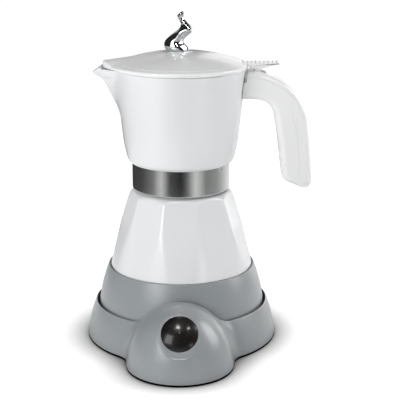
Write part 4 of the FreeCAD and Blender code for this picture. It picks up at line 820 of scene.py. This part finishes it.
# Thumb lever: a flat tab with nine round ribs, and the barrel that turns on the hinge pin

leverShape = {
    "root": (47.0, 216.1), "top": 218.3, "under": 214.3, "step": (51.8, 53.4), "heel": 62.0,
    "toe": ((62.0, 214.3), (68.5, 216.35), (75.0, 217.9)), "tip": ((75.0, 217.9), (75.4, 218.1), (75.1, 218.3)),
    "hinge": (59.0, 209.6), "barrel": 3.2, "neck": 2.5, "bore": 1.55, "halfWidth": 7.0, "barrelHalf": 5.5,
    "edge": 0.5, "ribs": 9, "ribPitch": 3.2, "ribRadius": 0.5, "lastRib": 73.8,
}


def barAlongY(name, line, half, soft):
    # a closed outline in X and Z, drawn out to both sides with rounded side edges
    line = np.array(line)
    ahead, behind = np.roll(line, -1, axis=0) - line, line - np.roll(line, 1, axis=0)
    ahead /= np.maximum(np.linalg.norm(ahead, axis=1, keepdims=True), 1e-9)
    behind /= np.maximum(np.linalg.norm(behind, axis=1, keepdims=True), 1e-9)
    along = ahead + behind
    along /= np.maximum(np.linalg.norm(along, axis=1, keepdims=True), 1e-9)
    inward = np.stack([-along[:, 1], along[:, 0]], axis=1)
    rings = []
    turns = np.radians(np.linspace(0, 90, 5))
    for side, order in ((-1, turns), (1, turns[::-1])):
        for turn in order:
            y = side * (half - soft + soft * math.cos(turn))
            rings.append([(x, y, z) for x, z in line + inward * soft * (1 - math.sin(turn))])
    return ringPiece(name, rings, closed=False)


def makeLever():
    s = leverShape
    x0, z0 = s["root"]
    hx, hz = s["hinge"]
    line = [(x0, z0), (s["step"][0], z0), (s["step"][1], s["under"]), (s["heel"], s["under"])]
    line += arcPoints(*s["toe"], 16) + arcPoints(*s["tip"], 6)
    for k in range(s["ribs"]):
        middle = s["lastRib"] - k * s["ribPitch"]
        for turn in np.radians(np.linspace(0, 180, 13)):
            line.append((middle + s["ribRadius"] * math.cos(turn), s["top"] + s["ribRadius"] * math.sin(turn)))
    line.append((x0, s["top"]))
    piece = barAlongY("thumbLever", line, s["halfWidth"], s["edge"])
    first = math.acos(s["neck"] / s["barrel"])
    line = [(hx - s["neck"], s["under"] + 1)]
    for turn in np.linspace(math.pi - first, 2 * math.pi + first, 48):
        line.append((hx + s["barrel"] * math.cos(turn), hz + s["barrel"] * math.sin(turn)))
    line.append((hx + s["neck"], s["under"] + 1))
    barrel = barAlongY("leverBarrel", line, s["barrelHalf"], 0.3)
    cutAway(barrel, rod("pinBore", s["bore"], (hx, -12, hz), (hx, 12, hz), 48))
    joinMesh(piece, barrel)
    shade(piece, 40)
    settle(piece, "lid", "white_plastic", "thumb_lever")


makeLever()
print("thumb lever made")


# Studio: pale floor, soft boxes, near-black surroundings for gloss, and bright cards that only gloss sees

studio = {
    # floorColour lights the underside, floorToEye is what the camera meets there; floorLift is the floor's own
    # glow near the part, and from whiteFrom to whiteAt metres it rises to plain white
    "floorColour": 0.9, "floorToEye": 0.35, "floorLift": 0.9, "whiteFrom": 0.1, "whiteAt": 0.2,
    # the contact shadow looks contactReach metres round each place on the floor; it is black where
    # contactDark of that is open, and gone where contactClear is
    "contactReach": 0.03, "contactDark": 0.48, "contactClear": 0.96,
    # surroundings as the camera sees them, as gloss sees them and as they light the part; the floor in gloss
    "seen": 1.0, "inGloss": 0.03, "fill": 0.03, "floorInGloss": 0.3,
    "boxes": (
        # name, place, aim, width, height, watts, whether gloss shows it
        ("keyBox", (-0.8, -1.1, 0.6), (0, 0, 0.13), 0.8, 0.8, 12.2, False),
        ("frontBox", (0, -1.4, 0.25), (0, 0, 0.13), 0.8, 0.5, 2.6, False),
        ("topBox", (0, 0, 1.2), (0, 0, 0.13), 1.0, 1.0, 2.7, False),
        ("leftBox", (-1.2, 0, 0.35), (0, 0, 0.13), 0.6, 1.0, 3.7, False),
        ("rightBox", (1.1, 0.1, 0.65), (0, 0, 0.15), 0.6, 0.8, 9.5, True),
        ("backBox", (0.8, 0.9, 0.6), (0, 0, 0.13), 0.6, 0.8, 1.1, True),
    ),
    # a ring on the floor, from ringFrom to ringTo metres out, that gives the band its dark and bright bars:
    # degrees from the camera's side, left negative, and strength
    "ringFrom": 0.42, "ringTo": 0.85, "ringHeight": 0.001, "ringColumns": 145,
    "ringStops": ((-180, 0.05), (-100, 0.1), (-66, 0.3), (-45, 1.0), (-26, 0.1), (2, 0.0), (15, 0.2), (34, 1.1),
                  (60, 0.35), (90, 0.5), (130, 1.1), (180, 1.1)),
    # panels: from and to in degrees, lower and upper edge as distance and height in metres, strength
    "panelColumns": 16,
    "panels": (
        (128, 176, (1.0, 0.2), (1.0, 0.7), 1.3), (-176, -140, (1.0, 0.0), (1.0, 0.7), 0.5),
        (126, 165, (1.0, 0.0), (1.0, 0.2), 2.4),
        (-24, 0, (0.6, 1.08), (0.42, 1.2), 24.0), (42, 56, (0.72, 0.95), (0.62, 1.05), 15.0),
        (30, 40, (1.0, 0.08), (1.0, 0.22), 2.5), (-49, -25, (1.12, 0.25), (0.95, 0.72), 4.5),
    ),
}


def stageMesh(name, corners, faces, material):
    mesh = bpy.data.meshes.new(name)
    mesh.from_pydata(corners, [], faces)
    mesh.materials.append(material)
    thing = bpy.data.objects.new(name, mesh)
    scene.collection.objects.link(thing)
    return thing


def buildFloor():
    material, tree = startMaterial("whiteSweep")
    path = addNode(tree, "ShaderNodeLightPath")
    pale = addNode(tree, "ShaderNodeMix", {"data_type": "FLOAT", "A": studio["floorColour"],
                   "B": studio["floorToEye"]}, {"Factor": path.outputs["Is Camera Ray"]})
    near = addNode(tree, "ShaderNodeAmbientOcclusion", {"samples": 12, "Distance": studio["contactReach"]})
    contact = addNode(tree, "ShaderNodeMapRange", {"From Min": studio["contactDark"],
                      "From Max": studio["contactClear"], "To Min": 0.0}, {"Value": near.outputs["AO"]})
    dim = addNode(tree, "ShaderNodeMath", {"operation": "MULTIPLY"},
                  {0: pale.outputs["Result"], 1: contact.outputs["Result"]})
    flat = addNode(tree, "ShaderNodeBsdfDiffuse", links={"Color": dim.outputs[0]})
    place = addNode(tree, "ShaderNodeTexCoord")
    reach = addNode(tree, "ShaderNodeVectorMath", {"operation": "LENGTH"}, {0: place.outputs["Object"]})
    spread = addNode(tree, "ShaderNodeMapRange", {"interpolation_type": "SMOOTHSTEP",
                     "From Min": studio["whiteFrom"], "From Max": studio["whiteAt"],
                     "To Min": studio["floorLift"], "To Max": 1.0}, {"Value": reach.outputs["Value"]})
    mirrored = addNode(tree, "ShaderNodeMath", {"operation": "MULTIPLY", 1: studio["floorInGloss"]},
                       {0: path.outputs["Is Glossy Ray"]})
    eye = addNode(tree, "ShaderNodeMath", {"operation": "MAXIMUM"},
                  {0: path.outputs["Is Camera Ray"], 1: mirrored.outputs[0]})
    gain = addNode(tree, "ShaderNodeMath", {"operation": "MULTIPLY"},
                   {0: eye.outputs[0], 1: spread.outputs["Result"]})
    lit = addNode(tree, "ShaderNodeMath", {"operation": "MULTIPLY"},
                  {0: gain.outputs[0], 1: contact.outputs["Result"]})
    glow = addNode(tree, "ShaderNodeEmission", {"Color": (1, 1, 1, 1)}, {"Strength": lit.outputs[0]})
    both = addNode(tree, "ShaderNodeAddShader", links={0: flat.outputs[0], 1: glow.outputs[0]})
    finishMaterial(tree, both)
    stageMesh("studioFloor", [(-6, -6, 0), (6, -6, 0), (6, 6, 0), (-6, 6, 0)], [(0, 1, 2, 3)], material)


def glossOnly(name, inner, outer, turns, tones):
    # a bent card between two edges, each a distance and a height, with a strength at each turn
    material, tree = startMaterial(name)
    tone = addNode(tree, "ShaderNodeAttribute", {"attribute_name": "tone"})
    finishMaterial(tree, addNode(tree, "ShaderNodeEmission", links={"Strength": tone.outputs["Fac"]}))
    sines = [(math.sin(math.radians(t)), -math.cos(math.radians(t))) for t in turns]
    corners = [(r * s, r * c, z) for s, c in sines for r, z in (inner, outer)]
    faces = [(2 * i, 2 * i + 1, 2 * i + 3, 2 * i + 2) for i in range(len(turns) - 1)]
    card = stageMesh(name, corners, faces, material)
    layer = card.data.attributes.new("tone", "FLOAT", "POINT")
    layer.data.foreach_set("value", np.repeat(tones, 2))
    card.visible_camera = card.visible_diffuse = card.visible_shadow = card.visible_transmission = False


def buildCards():
    turns = np.linspace(-180, 180, studio["ringColumns"])
    tones = np.interp(turns, *zip(*studio["ringStops"]))
    inner, outer = [(reach, studio["ringHeight"]) for reach in (studio["ringFrom"], studio["ringTo"])]
    glossOnly("floorRing", inner, outer, turns, tones)
    columns = studio["panelColumns"]
    for count, (start, stop, lower, upper, strength) in enumerate(studio["panels"]):
        glossOnly("panel%d" % count, lower, upper, np.linspace(start, stop, columns), [strength] * columns)


def buildSurround():
    world = bpy.data.worlds.new("studioSurround")
    world.use_nodes = True
    tree = world.node_tree
    tree.nodes.clear()
    path = addNode(tree, "ShaderNodeLightPath")
    gloss = addNode(tree, "ShaderNodeMix", {"data_type": "FLOAT", "A": studio["fill"], "B": studio["inGloss"]},
                    {"Factor": path.outputs["Is Glossy Ray"]})
    direct = addNode(tree, "ShaderNodeMath", {"operation": "MAXIMUM"},
                     {0: path.outputs["Is Camera Ray"], 1: path.outputs["Is Transmission Ray"]})
    strength = addNode(tree, "ShaderNodeMix", {"data_type": "FLOAT", "B": studio["seen"]},
                       {"Factor": direct.outputs[0], "A": gloss.outputs["Result"]})
    light = addNode(tree, "ShaderNodeBackground", {"Color": (1, 1, 1, 1)}, {"Strength": strength.outputs["Result"]})
    addNode(tree, "ShaderNodeOutputWorld", links={"Surface": light.outputs[0]})
    scene.world = world


def buildLamps():
    for name, place, aim, width, height, watts, mirrored in studio["boxes"]:
        lamp = bpy.data.lights.new(name, "AREA")
        lamp.shape = "RECTANGLE"
        lamp.size = width
        lamp.size_y = height
        lamp.energy = watts
        box = bpy.data.objects.new(name, lamp)
        box.location = place
        box.rotation_euler = (Vector(aim) - Vector(place)).to_track_quat("-Z", "Y").to_euler()
        box.visible_glossy = mirrored
        scene.collection.objects.link(box)


buildFloor()
buildCards()
buildSurround()
buildLamps()
print("studio built")
